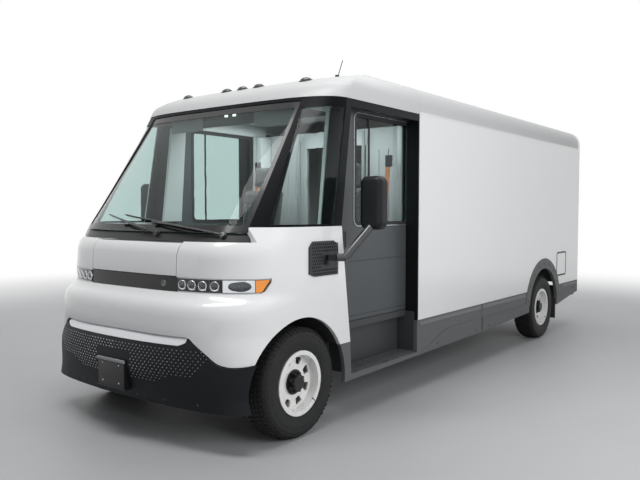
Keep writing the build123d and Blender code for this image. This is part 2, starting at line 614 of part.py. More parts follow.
def wishbone(inner, low, pin_z):
    """A triangular arm from its inner hinge to a ball pin on the steering axis."""
    corners = ((inner, -200), (inner, -130), (KINGPIN_X - 70, 0), (inner, 130), (inner, 200),
               (KINGPIN_X + 10, 38), (KINGPIN_X + 38, 0), (KINGPIN_X + 10, -38))
    outline = make_face(Polyline(*corners, close=True))
    arm = Pos(0, FRONT_AXLE_Y, low) * extrude(outline, ARM_THICK)
    return arm + upright(KINGPIN_R, KINGPIN_X, FRONT_AXLE_Y, pin_z)


SPRING_X = 520


def make_rear_axle():
    """Drive axle with its motor housing, stub shafts for the wheels, and two leaf springs."""
    axle = across(60, (-HUB_INNER + 2, HUB_INNER - 2), REAR_AXLE_Y, AXLE_Z)
    axle = axle + across(SPINDLE_R, (-SPINDLE_END, SPINDLE_END), REAR_AXLE_Y, AXLE_Z)
    axle = axle + block((-230, 230), (REAR_AXLE_Y - 190, REAR_AXLE_Y + 150), (AXLE_Z - 130, AXLE_Z + 130))
    springs = []
    for side in SIDES:
        seat = block((SPRING_X - 45, SPRING_X + 45), (REAR_AXLE_Y - 60, REAR_AXLE_Y + 60),
                     (AXLE_Z, AXLE_Z + 75))
        axle = axle + mirrored(seat, side)
        low = AXLE_Z + 75
        leaf = block((SPRING_X - 35, SPRING_X + 35), (REAR_AXLE_Y - 620, REAR_AXLE_Y + 620), (low, low + 18))
        for step, reach in enumerate((430, 240)):
            leaf = leaf + block((SPRING_X - 35, SPRING_X + 35), (REAR_AXLE_Y - reach, REAR_AXLE_Y + reach),
                                (low + 18 * (step + 1), low + 18 * (step + 2)))
        for end in (-1, 1):
            middle = REAR_AXLE_Y + end * 590
            hanger = block((RAIL_X + RAIL_WIDTH / 2, SPRING_X + 35), (middle - 30, middle + 30),
                           (low, RAIL_Z[1] - 20))
            leaf = leaf + hanger
        springs.append(mirrored(leaf, side))
    save("rear_axle", axle)
    save("leaf_springs", Compound(children=springs))


make_rear()
make_chassis()
make_front_axle()
make_rear_axle()

# ---------------------------------------------------------------- wheels
HAND_HOLES = 8
DISC_X = 22                  # from the middle of the tyre to the disc
HAND_HOLE = ((-21, -24), (21, -24), (33, 26), (-33, 26))     # corners seen from outside
HAND_HOLE_ROUND = 11
HAND_HOLE_MIDDLE = 146       # from the wheel's centre
HUB_R = 86
CAP_R = 52
BEAD_INSET = 18              # from the widest part of the tyre to its bead


def tyre_shape():
    """A tyre about the X axis, centred on the origin."""
    half = TYRE_WIDTH / 2
    bead = half - BEAD_INSET
    crown = TYRE_RADIUS
    right = ((bead, RIM_RADIUS), (bead, RIM_RADIUS + 20), (half - 3, RIM_RADIUS + 48),
             (half, RIM_RADIUS + 85), (half - 8, crown - 22), (half - 32, crown))
    left = [(-x, radius) for x, radius in reversed(right)]
    return revolve(Plane.XY * make_face(Polyline(*right, *left, close=True)), Axis.X)


def rim_shape():
    """A steel wheel about the X axis: rim barrel, dished disc with hand holes, and hub."""
    seat = RIM_RADIUS - REST_GAP
    bore = RIM_RADIUS - 14
    bead = TYRE_WIDTH / 2 - BEAD_INSET + REST_GAP
    inside = HUB_INNER - WHEEL_CENTRE_X
    wheel = across(seat, (-bead, bead), 0, 0)
    for end in SIDES:
        flange = across(RIM_RADIUS + 16, (bead, bead + 9), 0, 0)
        wheel = wheel + mirrored(flange, end)
    wheel = wheel - across(bore, (-bead - 20, bead + 20), 0, 0)
    disc = across(bore + 5, (DISC_X, DISC_X + 12), 0, 0)
    opening = extrude(Plane.YZ * make_face(Polyline(*HAND_HOLE, close=True)), 30)
    opening = fillet(opening.edges().filter_by(Axis.X), HAND_HOLE_ROUND)
    opening = Pos(DISC_X - 8, 0, HAND_HOLE_MIDDLE) * opening
    for step in range(HAND_HOLES):
        disc = disc - Rot(360 / HAND_HOLES * (step + 0.5), 0, 0) * opening
    hub = across(HUB_R, (inside, DISC_X + 24), 0, 0)
    cap = across(CAP_R, (DISC_X + 20, DISC_X + 70), 0, 0)
    bearing = across(SPINDLE_R + RUNNING, (inside - 5, SPINDLE_END + 3 - WHEEL_CENTRE_X), 0, 0)
    return wheel + disc + hub + cap - bearing


def make_wheels():
    """Four single wheels, each a painted steel wheel and its tyre."""
    tyre = tyre_shape()
    rim = rim_shape()
    for end, y in (("front", FRONT_AXLE_Y), ("rear", REAR_AXLE_Y)):
        for side in SIDES:
            place = Pos(WHEEL_CENTRE_X, y, AXLE_Z)
            save(f"{end}_wheel_{SIDE_NAME[side]}", mirrored(place * rim, side))
            save(f"{end}_tyre_{SIDE_NAME[side]}", mirrored(place * tyre, side))


make_wheels()

# ---------------------------------------------------------------- floors, wheel housings and bulkhead
HOUSE_INNER_X = WHEEL_FACE - 480
HOUSE_RADIUS = 462
HOUSE_SKIN = 12
WELL_INNER_X = HALF_WIDTH - 205
BULKHEAD_Y = behind(1760)
RING_SPACING = (1300, 1900)   # of the four tie-down bolts in the load floor
RING_MIDDLE_Y = behind(3200)
RING_HOLE_R = 5.5


def make_floors():
    """Cab floor with both step wells, load floor with its wheel boxes, and front wheel housings."""
    floor_z = (FLOOR_TOP - 50, FLOOR_TOP)
    floor_half = HALF_WIDTH - 115
    load_half = HALF_WIDTH - SIDE_WALL - 1
    cab = block((-floor_half, floor_half), (behind(490), BULKHEAD_Y - 1), floor_z)
    footwell = HOUSE_INNER_X - 10
    cab = cab + block((-footwell, footwell), (behind(-420), behind(500)), floor_z)
    cab = cab + block((-footwell, footwell), (behind(-420), behind(-390)), (FLOOR_TOP - 20, 1000))
    for side in SIDES:
        well_y = (behind(556), DOOR_REAR - 16)
        well = block((WELL_INNER_X, HALF_WIDTH - 5), well_y, (STEP_Z - 9, FLOOR_TOP - 10))
        hollow_x = (WELL_INNER_X + 12, HALF_WIDTH + 5)
        well = well - block(hollow_x, (well_y[0] + 12, well_y[1] - 12), (STEP_Z, FLOOR_TOP))
        well = well & block((WELL_INNER_X, HALF_WIDTH - 30), (behind(0), behind(1600)), (0, 2000))
        cab = cab + mirrored(well, side)
    save("cab_floor", cab)

    load = block((-load_half, load_half), (BULKHEAD_Y, TAIL_Y - FRAME_DEPTH - 1), floor_z)
    lip_y = (TAIL_Y - FRAME_DEPTH - 1, TAIL_Y - REAR_DOOR - 6)
    load = load + block((-floor_half, floor_half), lip_y, floor_z)
    for side in SIDES:
        box_y = (REAR_AXLE_Y - 490, REAR_AXLE_Y + 490)
        box = block((WHEEL_FACE - 300, load_half), box_y, (FLOOR_TOP - 50, 900))
        load = load + mirrored(box, side)
        room = block((WHEEL_FACE - 285, load_half + 6), (box_y[0] + 15, box_y[1] - 15),
                     (FLOOR_TOP - 60, 885))
        load = load - mirrored(room, side)
        for place in (-RING_SPACING[1] / 2, RING_SPACING[1] / 2):
            x = side * RING_SPACING[0] / 2
            load = load - upright(RING_HOLE_R, x, RING_MIDDLE_Y + place, (floor_z[0] - 1, floor_z[1] + 1))
    save("cargo_floor", load)

    houses = []
    for side in SIDES:
        x = (HOUSE_INNER_X - 10, HALF_WIDTH - CAB_SKIN - 2)
        house = across(HOUSE_RADIUS + HOUSE_SKIN, x, FRONT_AXLE_Y, AXLE_Z)
        house = house - across(HOUSE_RADIUS, (x[0] + HOUSE_SKIN, x[1] + 5), FRONT_AXLE_Y, AXLE_Z)
        house = house & block((0, 1100), (behind(-600), behind(480)), (RAIL_Z[1] - 60, 900))
        house = house & nose_solid(NOSE_LEVELS, CAB_SKIN + 2)
        houses.append(mirrored(house, side).solids()[0])
    save("front_wheelhouses", Compound(children=houses))


def make_bulkhead():
    """Wall behind the seats with a walk-through opening, and the inner walls of the door pockets."""
    wall_half = DOOR_X[0] - 20
    wall = block((-wall_half, wall_half), (BULKHEAD_Y, BULKHEAD_Y + 30), (FLOOR_TOP, 2300))
    wall = wall - block((-330, 370), (BULKHEAD_Y - 5, BULKHEAD_Y + 35), (FLOOR_TOP - 1, 2150))
    for side in SIDES:
        pocket = block((wall_half - 12, wall_half), (DOOR_REAR + 10, TRACK_END), (FLOOR_TOP, 2300))
        wall = wall + mirrored(pocket, side)
    save("bulkhead", wall)


# ---------------------------------------------------------------- cab interior
SEAT_X = 480
COLUMN_X = 480
WHEEL_RIM_R = 205
COLUMN_TILT = 35


def make_interior():
    """Dashboard with steering column, steering wheel, and two seats on their pedestals."""
    profile = ((behind(-380), 900), (behind(-380), 1290), (behind(-250), 1310), (behind(60), 1290),
               (behind(130), 1180), (behind(110), 1040), (behind(-120), 900))
    dash = side_plate(profile, (155 - HALF_WIDTH, HALF_WIDTH - 155)) & nose_solid(NOSE_LEVELS, CAB_SKIN + 12)
    hood_box = side_plate(((behind(0), 1280), (behind(-40), 1400), (behind(120), 1420), (behind(90), 1280)),
                          (COLUMN_X - 170, COLUMN_X + 170))
    legs = block((-540, 540), (behind(-380), behind(-340)), (FLOOR_TOP, 910))
    column_base = (COLUMN_X, behind(60), 1130)
    wheel_place = Pos(*column_base) * Rot(-COLUMN_TILT - 20, 0, 0)
    column = wheel_place * (Pos(0, 0, 80) * Cylinder(32, 260))
    save("dashboard", dash + hood_box + legs + column)
    ring = Torus(WHEEL_RIM_R, 15)
    hub = Pos(0, 0, -8) * Cylinder(48, 36)
    spokes = Box(2 * WHEEL_RIM_R - 10, 34, 14) + Pos(0, -WHEEL_RIM_R / 2, 0) * Box(34, WHEEL_RIM_R, 14)
    wheel = wheel_place * (Pos(0, 0, 210 + 26.3) * (ring + hub + spokes))
    save("steering_wheel", wheel)

    bases = []
    seats = []
    for x in (SEAT_X, -SEAT_X):
        base = block((x - 190, x + 190), (behind(720), behind(1150)), (FLOOR_TOP, 1020))
        bases.append(base)
        cushion = block((x - 245, x + 245), (behind(660), behind(1190)), (1020.3, 1140))
        cushion = fillet(cushion.edges().filter_by(Axis.Z), 60)
        back = block((x - 235, x + 235), (-70, 70), (0, 620))
        back = fillet(back.edges().filter_by(Axis.Y), 70)
        head = block((x - 130, x + 130), (-50, 50), (610, 830))
        head = fillet(head.edges().filter_by(Axis.Y), 45)
        back = Pos(0, behind(1215), 1136.9) * Rot(-8, 0, 0) * (back + head)
        seats += [cushion.solids()[0], back.solids()[0]]
    save("seat_bases", Compound(children=bases))
    save("seats", Compound(children=seats))


make_floors()
make_bulkhead()
make_interior()

# ---------------------------------------------------------------- mirrors, wipers, lamps and aerial
MIRROR_PIVOT = (HALF_WIDTH + 45, behind(230))
MIRROR_ARM_Z = (1195, 1235)
MIRROR_ARM = (30, 40)         # width and depth of the arm's box section
MIRROR_BEND = (HALF_WIDTH + 110, behind(330))          # where the arm turns up towards the head
MIRROR_HEAD_X = (HALF_WIDTH + 100, HALF_WIDTH + 285)
MIRROR_HEAD_Y = (behind(500), behind(590))
MIRROR_HEAD_Z = (1405, 1785)
MIRROR_ROOT_Z = 1440          # the arm ends this high inside the head
WIPERS = ((149, -518), (727, -299))       # X of each pivot and of the far end of its blade
WIPER_PIVOT_Z = 1372
WIPER_TIP_Z = 1482
LAMP_PLACES = (-660, -180, 0, 180, 660)
LAMP_Y = behind(510)
LAMP_SIZE = (110, 70, 90)
LAMP_TOP = 2560
AERIAL = (HALF_WIDTH - 255, behind(720), 2545)


def strut(start, end, section):
    """A straight box-section bar between two points."""
    run = end - start
    place = Plane(origin=start + run / 2, z_dir=run.normalized(), x_dir=Vector(run.Y, -run.X, 0).normalized())
    return place * Box(section[0], section[1], run.length)


def make_mirrors():
    """Mirror feet on the fenders, and the folding arms with their tall heads."""
    bases = []
    pivot_x, pivot_y = MIRROR_PIVOT
    low, high = MIRROR_ARM_Z
    for side in SIDES:
        foot = side_plate(((behind(52), 1110), (behind(110), 1090), (behind(373), 1090), (behind(373), 1300),
                           (behind(320), 1330), (behind(90), 1330), (behind(52), 1290)),
                          (HALF_WIDTH - 40, HALF_WIDTH + 14))
        foot = foot - nose_solid(NOSE_LEVELS, 0)
        lug = upright(24, pivot_x, pivot_y, (low - 26, low - REST_GAP))
        lug_z = (low - 26, low - REST_GAP)
        lug = lug + block((HALF_WIDTH + 10, pivot_x), (pivot_y - 24, pivot_y + 24), lug_z)
        bases.append(mirrored(foot + lug, side).solids()[0])
        middle = (low + high) / 2
        head_foot = Vector((MIRROR_HEAD_X[0] + MIRROR_HEAD_X[1]) / 2, MIRROR_HEAD_Y[0] + 40, MIRROR_ROOT_Z)
        bend = Vector(*MIRROR_BEND, middle)
        arm = upright(24, pivot_x, pivot_y, MIRROR_ARM_Z) + Pos(*bend) * Sphere(MIRROR_ARM[1] / 2)
        arm = arm + strut(Vector(pivot_x, pivot_y, middle), bend, MIRROR_ARM)
        arm = arm + strut(bend, head_foot, MIRROR_ARM)
        head = block(MIRROR_HEAD_X, MIRROR_HEAD_Y, MIRROR_HEAD_Z)
        head = fillet(head.edges().filter_by(Axis.Y), 55)
        head = fillet(head.faces().sort_by(Axis.Y)[0].edges(), 35)
        save(f"mirror_{SIDE_NAME[side]}", mirrored(arm + head, side))
    save("mirror_bases", Compound(children=bases))


def make_wipers():
    """Two wipers parked low on the windscreen, each reaching towards the van's right side."""
    skin = nose_shell(NOSE_LEVELS, -24, -6)
    wipers = []
    for pivot, tip in WIPERS:
        rise = (WIPER_TIP_Z - WIPER_PIVOT_Z) / (tip - pivot)
        half = 12
        outline = ((pivot + 20, WIPER_PIVOT_Z - 16), (pivot + 20, WIPER_PIVOT_Z + 16),
                   (tip, WIPER_TIP_Z + half), (tip, WIPER_TIP_Z - half))
        arm = skin & front_plate(outline, (behind(-900), behind(0)))
        boss = front_plate(((pivot - 18, WIPER_PIVOT_Z - 16), (pivot + 18, WIPER_PIVOT_Z - 16),
                            (pivot + 18, WIPER_PIVOT_Z + 12), (pivot - 18, WIPER_PIVOT_Z + 12)),
                           (behind(-900), behind(0)))
        boss = nose_shell(NOSE_LEVELS, -24, COWL_INSET - REST_GAP) & boss
        wipers.append((arm + boss).solids()[0])
    save("wipers", Compound(children=wipers))


def make_roof_fittings():
    """Five marker lamps over the windscreen and the radio aerial."""
    lamps = []
    for x in LAMP_PLACES:
        pad = Pos(x, LAMP_Y, LAMP_TOP - LAMP_SIZE[2] / 2) * Box(*LAMP_SIZE)
        pad = fillet(pad.edges().filter_by(Axis.Z), 25)
        lamps.append((pad - cap_solid(0)).solids()[0])
    save("roof_marker_lamps", Compound(children=lamps))
    foot = Pos(*AERIAL) * Cylinder(16, 60) - cap_solid(0)
    rod = Pos(*AERIAL) * Rot(-25, 0, 0) * Pos(0, 0, 95) * Cylinder(3, 150)
    save("aerial", foot.solids().sort_by(Axis.Z)[-1] + (rod - cap_solid(0)))


make_mirrors()
make_wipers()
make_roof_fittings()
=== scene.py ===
import json
import math
import bmesh
import bpy
from mathutils import Matrix, Quaternion, Vector
from mathutils.bvhtree import BVHTree


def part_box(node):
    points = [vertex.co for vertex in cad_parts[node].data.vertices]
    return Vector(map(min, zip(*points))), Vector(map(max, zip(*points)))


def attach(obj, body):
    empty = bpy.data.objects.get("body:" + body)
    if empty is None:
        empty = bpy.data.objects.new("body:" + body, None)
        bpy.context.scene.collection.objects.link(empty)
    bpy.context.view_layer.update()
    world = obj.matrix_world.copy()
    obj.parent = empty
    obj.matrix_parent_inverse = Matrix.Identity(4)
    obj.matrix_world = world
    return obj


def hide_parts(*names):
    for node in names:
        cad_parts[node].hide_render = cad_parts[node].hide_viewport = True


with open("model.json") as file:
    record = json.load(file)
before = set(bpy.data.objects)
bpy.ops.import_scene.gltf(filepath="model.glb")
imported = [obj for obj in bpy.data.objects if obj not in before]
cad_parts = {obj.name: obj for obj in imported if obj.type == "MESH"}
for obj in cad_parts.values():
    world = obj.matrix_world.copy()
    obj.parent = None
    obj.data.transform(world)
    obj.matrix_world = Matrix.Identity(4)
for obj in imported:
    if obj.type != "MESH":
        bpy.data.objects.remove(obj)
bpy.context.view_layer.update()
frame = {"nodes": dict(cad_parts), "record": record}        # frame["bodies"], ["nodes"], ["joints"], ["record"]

scene = bpy.context.scene

# ---------------------------------------------------------------- studio
# A plain pale floor that runs out into a white cove, a softbox overhead, one over the nose, one off
# each side and one behind.  The camera stands at eye height off the van's left front corner.
front_tyre_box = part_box("front_tyre_left")
FRONT_AXLE = (front_tyre_box[0][1] + front_tyre_box[1][1]) / 2


def behind(distance):
    """Y of a place measured rearwards from the front axle."""
    return FRONT_AXLE + distance


scene.view_settings.view_transform = "Standard"
studio_camera = bpy.data.objects.new("studio_camera", bpy.data.cameras.new("studio_camera"))
scene.collection.objects.link(studio_camera)
studio_camera.data.lens = 37.96
studio_camera.data.sensor_width = 36
studio_camera.data.shift_y = 0.00125
studio_camera.location = (3.8864, behind(-3.4886), 1.5391)
turn, tilt = math.radians(37.67), math.radians(2.56)
aim = Vector((-math.sin(turn) * math.cos(tilt), math.cos(turn) * math.cos(tilt), -math.sin(tilt)))
studio_camera.rotation_mode = "QUATERNION"
studio_camera.rotation_quaternion = aim.to_track_quat("-Z", "Y") @ Quaternion((0, 0, 1), math.radians(0.1))
scene.camera = studio_camera


def wired(tree, kind, inputs=(), **settings):
    """A new node of a tree with its settings, its inputs given a value or linked from an output."""
    node = tree.nodes.new(kind)
    for setting, value in settings.items():
        setattr(node, setting, value)
    for socket, source in dict(inputs).items():
        if isinstance(source, bpy.types.NodeSocket):
            tree.links.new(source, node.inputs[socket])
        else:
            node.inputs[socket].default_value = source
    return node


surround = bpy.data.worlds.new("white_surround")
scene.world = surround
surround.use_nodes = True
sky = surround.node_tree
ray_kind = wired(sky, "ShaderNodeLightPath").outputs
seen = wired(sky, "ShaderNodeMath", {0: ray_kind["Is Camera Ray"], 1: ray_kind["Is Transmission Ray"]},
             operation="MAXIMUM")
seen_through = wired(sky, "ShaderNodeMath", {0: seen.outputs[0], 1: ray_kind["Is Glossy Ray"]},
                     operation="MAXIMUM")
level = wired(sky, "ShaderNodeMapRange", {"Value": seen_through.outputs[0], "To Min": 0.10, "To Max": 1.0})
sky.nodes["Background"].inputs["Color"].default_value = (1, 1, 1, 1)
sky.links.new(level.outputs["Result"], sky.nodes["Background"].inputs["Strength"])


def soft_panel(name, place, target, size, watts, mirrored=True):
    """A rectangular soft light that faces its target, seen in the gloss or not."""
    lamp = bpy.data.lights.new(name, "AREA")
    lamp.shape = "RECTANGLE"
    lamp.size, lamp.size_y = size
    lamp.energy = watts
    panel = bpy.data.objects.new(name, lamp)
    scene.collection.objects.link(panel)
    panel.location = place
    panel.visible_camera = panel.visible_transmission = False
    panel.visible_glossy = mirrored
    panel.rotation_mode = "QUATERNION"
    panel.rotation_quaternion = (Vector(target) - Vector(place)).to_track_quat("-Z", "Y")


soft_panel("overhead_softbox", (0.5, 1.8, 7.5), (0, 1.8, 0), (6, 7), 150)
soft_panel("left_panel", (6.2, -2.7, 3.0), (1, -1.5, 1.1), (4.5, 3.2), 215, False)
soft_panel("right_panel", (-8.5, 1.2, 4.2), (-1, 0.8, 1.2), (9, 5), 270, False)
soft_panel("tail_panel", (0.0, 11.5, 4.5), (0, 3, 1.3), (7, 4), 310, False)
soft_panel("nose_top_panel", (0.6, -4.4, 6.6), (0, -3.2, 1.0), (4.5, 1.6), 208)


def mesh_piece(name, mesh):
    """A mesh as an object of the scene, at the origin."""
    piece = bpy.data.objects.new(name, mesh)
    scene.collection.objects.link(piece)
    return piece


def finish_of(name, colour, rough, grain=(600, 0.05), mottle=(2.5, 0.05), wander=0.06, stretch=(1, 1, 1),
              **sockets):
    """A finish: one colour that varies a little in cloudy patches, wandering roughness, and a fine grain."""
    made = bpy.data.materials.new(name)
    made.use_nodes = True
    tree = made.node_tree
    shader = tree.nodes["Principled BSDF"].inputs
    for socket, value in sockets.items():
        shader[socket.replace("_", " ").title().replace("Ior", "IOR")].default_value = value
    place = wired(tree, "ShaderNodeTexCoord").outputs["Object"]
    scaled = wired(tree, "ShaderNodeMapping", {"Vector": place, "Scale": stretch}).outputs["Vector"]
    cloud = wired(tree, "ShaderNodeTexNoise", {"Vector": scaled, "Scale": mottle[0], "Detail": 4})
    darker = (*[c * (1 - mottle[1]) for c in colour], 1)
    lighter = (*[min(c * (1 + mottle[1]), 1) for c in colour], 1)
    tint = wired(tree, "ShaderNodeMix", {0: cloud.outputs["Fac"], 6: darker, 7: lighter},
                 name="tint", data_type="RGBA")
    tree.links.new(tint.outputs[2], shader["Base Color"])
    smear = wired(tree, "ShaderNodeTexNoise", {"Vector": scaled, "Scale": mottle[0] * 5, "Detail": 5})
    spread = wired(tree, "ShaderNodeMapRange", {"Value": smear.outputs["Fac"],
                                                "To Min": max(rough - wander, 0.02),
                                                "To Max": min(rough + wander, 1)})
    tree.links.new(spread.outputs["Result"], shader["Roughness"])
    pores = wired(tree, "ShaderNodeTexNoise", {"Vector": scaled, "Scale": grain[0]})
    relief = wired(tree, "ShaderNodeBump", {"Height": pores.outputs["Fac"], "Strength": grain[1],
                                            "Distance": 0.002})
    tree.links.new(relief.outputs["Normal"], shader["Normal"])
    return made


FLOOR_HALF = 70
floor_corners = [(x, y, 0) for x, y in ((-FLOOR_HALF, -FLOOR_HALF), (FLOOR_HALF, -FLOOR_HALF),
                                        (FLOOR_HALF, FLOOR_HALF), (-FLOOR_HALF, FLOOR_HALF))]
floor_mesh = bpy.data.meshes.new("studio_floor")
floor_mesh.from_pydata(floor_corners, [], [(0, 1, 2, 3)])
studio_floor = mesh_piece("studio_floor", floor_mesh)
floor_vinyl = finish_of("floor_vinyl", (0.42, 0.43, 0.44), 0.55, (40, 0.02), (0.6, 0.03))
floor_tree = floor_vinyl.node_tree
floor_place = floor_tree.nodes["Texture Coordinate"].outputs["Object"]
reach = wired(floor_tree, "ShaderNodeVectorMath", {0: floor_place}, operation="LENGTH")
rising = wired(floor_tree, "ShaderNodeMapRange",
               {"Value": reach.outputs["Value"], "From Min": 5.5, "From Max": 12.0},
               interpolation_type="SMOOTHSTEP")
diffuse_ray = wired(floor_tree, "ShaderNodeLightPath").outputs["Is Diffuse Ray"]
bright_rays = wired(floor_tree, "ShaderNodeMath", {0: 1.0, 1: diffuse_ray}, operation="SUBTRACT")
fading = wired(floor_tree, "ShaderNodeMath", {0: rising.outputs["Result"], 1: bright_rays.outputs[0]},
               operation="MULTIPLY")
backdrop = wired(floor_tree, "ShaderNodeEmission", {"Color": (1, 1, 1, 1)})
vinyl_shader = floor_tree.nodes["Principled BSDF"].outputs["BSDF"]
cove = wired(floor_tree, "ShaderNodeMixShader",
             {"Fac": fading.outputs[0], 1: vinyl_shader, 2: backdrop.outputs["Emission"]})
floor_tree.links.new(cove.outputs["Shader"], floor_tree.nodes["Material Output"].inputs["Surface"])
studio_floor.data.materials.append(floor_vinyl)

# ---------------------------------------------------------------- ladder frame and battery case
# The frame is black wax-coated pressed steel.  The battery case under it is a finned aluminium casting
# with bolted flanges, and it hangs from the outriggers on rows of flanged bolts.


def merged(node, crease=32):
    """A copy of a CAD node as one closed mesh, smooth except where two faces meet at a sharp edge."""
    mesh = frame["nodes"][node].data.copy()
    shape = bmesh.new()
    shape.from_mesh(mesh)
    bmesh.ops.remove_doubles(shape, verts=shape.verts, dist=2e-5)
    bmesh.ops.dissolve_degenerate(shape, dist=1e-6, edges=shape.edges)
    for face in shape.faces:
        face.smooth = True
    for edge in shape.edges:
        edge.smooth = len(edge.link_faces) == 2 and edge.calc_face_angle(0) < math.radians(crease)
    shape.to_mesh(mesh)
    shape.free()
    if "custom_normal" in mesh.attributes:
        mesh.attributes.remove(mesh.attributes["custom_normal"])
    mesh.materials.clear()
    return mesh


record = frame["record"]
bodies_of_nodes = {node: body for body, nodes in record["behaviour"]["bodies"].items() for node in nodes}


def stands_for(piece, *nodes):
    """The piece rides on the body of these CAD nodes and stands in for them."""
    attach(piece, bodies_of_nodes[nodes[0]])
    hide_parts(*nodes)
    return piece


def refinished(node, *finishes, crease=32):
    """A CAD node whose shape is right, merged and given its finishes."""
    piece = mesh_piece(node + "_finished", merged(node, crease))
    for finish in finishes:
        piece.data.materials.append(finish)
    return stands_for(piece, node)


def paint_faces(piece, index, test):
    """Faces whose centre and normal pass the test take the finish at this index."""
    for face in piece.data.polygons:
        if test(face.center, face.normal):
            face.material_index = index


def closed_piece(name, shape, finishes, body, crease=35):
    """A bmesh as a finished piece on a body: doubles merged, faces outwards, sharp edges marked."""
    bmesh.ops.remove_doubles(shape, verts=shape.verts, dist=1e-6)
    bmesh.ops.recalc_face_normals(shape, faces=shape.faces)
    for face in shape.faces:
        face.smooth = True
    for edge in shape.edges:
        edge.smooth = len(edge.link_faces) == 2 and edge.calc_face_angle(0) < math.radians(crease)
    mesh = bpy.data.meshes.new(name)
    shape.to_mesh(mesh)
    shape.free()
    for finish in finishes:
        mesh.materials.append(finish)
    piece = mesh_piece(name, mesh)
    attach(piece, body)
    return piece


def bar_stock(shape, low, high, index=0, ease=0.0, turned=None):
    """A bar with eased edges between two corners, added to a bmesh."""
    size = Vector(high) - Vector(low)
    middle = (Vector(high) + Vector(low)) / 2
    made = bmesh.ops.create_cube(shape, size=1)["verts"]
    bmesh.ops.scale(shape, vec=size, verts=made)
    if ease:
        edges = list({edge for vert in made for edge in vert.link_edges})
        eased = bmesh.ops.bevel(shape, geom=edges, offset=ease, segments=2, affect="EDGES", profile=0.6)
        kept = {vert for vert in made if vert.is_valid}
        made = list({vert for face in eased["faces"] for vert in face.verts} | kept)
    if turned:
        bmesh.ops.transform(shape, matrix=turned, verts=made)
    bmesh.ops.translate(shape, vec=middle, verts=made)
    for face in {face for vert in made for face in vert.link_faces}:
        face.material_index = index
    return made


def turned_ring(shape, profile, centre, axis="X", steps=48, index=0, seat=Matrix.Identity(4)):
    """A profile of (along, radius) points spun about an axis through the centre, then put on its seat."""
    rings = []
    for step in range(steps):
        angle = 2 * math.pi * step / steps
        ring = []
        for along, radius in profile:
            u, v = radius * math.cos(angle), radius * math.sin(angle)
            offset = {"X": (along, u, v), "Y": (v, along, u), "Z": (u, v, along)}[axis]
            ring.append(shape.verts.new(seat @ (Vector(centre) + Vector(offset))))
        rings.append(ring)
    for step in range(steps):
        here, there = rings[step], rings[(step + 1) % steps]
        for k in range(len(profile) - 1):
            corners = (here[k], here[k + 1], there[k + 1], there[k])
            if profile[k][1] < 1e-6:
                corners = (here[k], here[k + 1], there[k + 1])
            elif profile[k + 1][1] < 1e-6:
                corners = (here[k], here[k + 1], there[k])
            shape.faces.new(corners).material_index = index


def skin_over(shape, rows, index=0):
    """A closed skin over rows of corners, each row joined to the next and both ends capped."""
    count = len(rows[0])
    for here, there in zip(rows[:-1], rows[1:]):
        for k in range(count):
            n = (k + 1) % count
            shape.faces.new((here[k], here[n], there[n], there[k])).material_index = index
    shape.faces.new(list(reversed(rows[0]))).material_index = index
    shape.faces.new(rows[-1]).material_index = index


def rod(shape, points, radius, steps=8, index=0, flat=1.0):
    """A round or flattened rod along a line of points."""
    rings = []
    points = [Vector(point) for point in points]
    for k, point in enumerate(points):
        ahead = points[min(k + 1, len(points) - 1)] - points[max(k - 1, 0)]
        turn_to = ahead.to_track_quat("Z", "Y")
        ring = [point + turn_to @ Vector((radius * math.cos(2 * math.pi * s / steps),
                                          radius * flat * math.sin(2 * math.pi * s / steps), 0))
                for s in range(steps)]
        rings.append([shape.verts.new(corner) for corner in ring])
    skin_over(shape, rings, index)


def repeat_tree(name, node_kind):
    """A node tree that sets one small solid on every point, its Z along facing and its X along lying."""
    tree = bpy.data.node_groups.new(name, "GeometryNodeTree")
    sockets = tree.interface
    sockets.new_socket("Geometry", in_out="INPUT", socket_type="NodeSocketGeometry")
    for label in ("Width", "Length", "Height", "Top"):
        sockets.new_socket(label, in_out="INPUT", socket_type="NodeSocketFloat")
    sockets.new_socket("Sides", in_out="INPUT", socket_type="NodeSocketInt")
    sockets.new_socket("Finish", in_out="INPUT", socket_type="NodeSocketMaterial")
    sockets.new_socket("Geometry", in_out="OUTPUT", socket_type="NodeSocketGeometry")
    given = wired(tree, "NodeGroupInput").outputs
    if node_kind == "GeometryNodeMeshCone":
        solid = wired(tree, node_kind, {"Vertices": given["Sides"], "Radius Top": given["Top"],
                                        "Radius Bottom": 1, "Depth": 1})
    else:
        solid = wired(tree, node_kind)
    scale = wired(tree, "ShaderNodeCombineXYZ",
                  {"X": given["Width"], "Y": given["Length"], "Z": given["Height"]})
    turned = {}
    for attribute, axis, pivot_axis in (("facing", "Z", "AUTO"), ("lying", "X", "Z")):
        read = wired(tree, "GeometryNodeInputNamedAttribute", {"Name": attribute}, data_type="FLOAT_VECTOR")
        align = wired(tree, "FunctionNodeAlignRotationToVector",
                      {"Vector": read.outputs["Attribute"], **turned}, axis=axis, pivot_axis=pivot_axis)
        turned = {"Rotation": align.outputs["Rotation"]}
    size = wired(tree, "GeometryNodeInputNamedAttribute", {"Name": "size"}, data_type="FLOAT")
    grown = wired(tree, "ShaderNodeVectorMath",
                  {0: scale.outputs["Vector"], "Scale": size.outputs["Attribute"]}, operation="SCALE")
    spread = wired(tree, "GeometryNodeInstanceOnPoints",
                   {"Points": given["Geometry"], "Instance": solid.outputs["Mesh"], **turned,
                    "Scale": grown.outputs["Vector"]})
    real = wired(tree, "GeometryNodeRealizeInstances", {"Geometry": spread.outputs["Instances"]})
    finish = wired(tree, "GeometryNodeSetMaterial",
                   {"Geometry": real.outputs["Geometry"], "Material": given["Finish"]})
    wired(tree, "NodeGroupOutput", {"Geometry": finish.outputs["Geometry"]})
    return tree


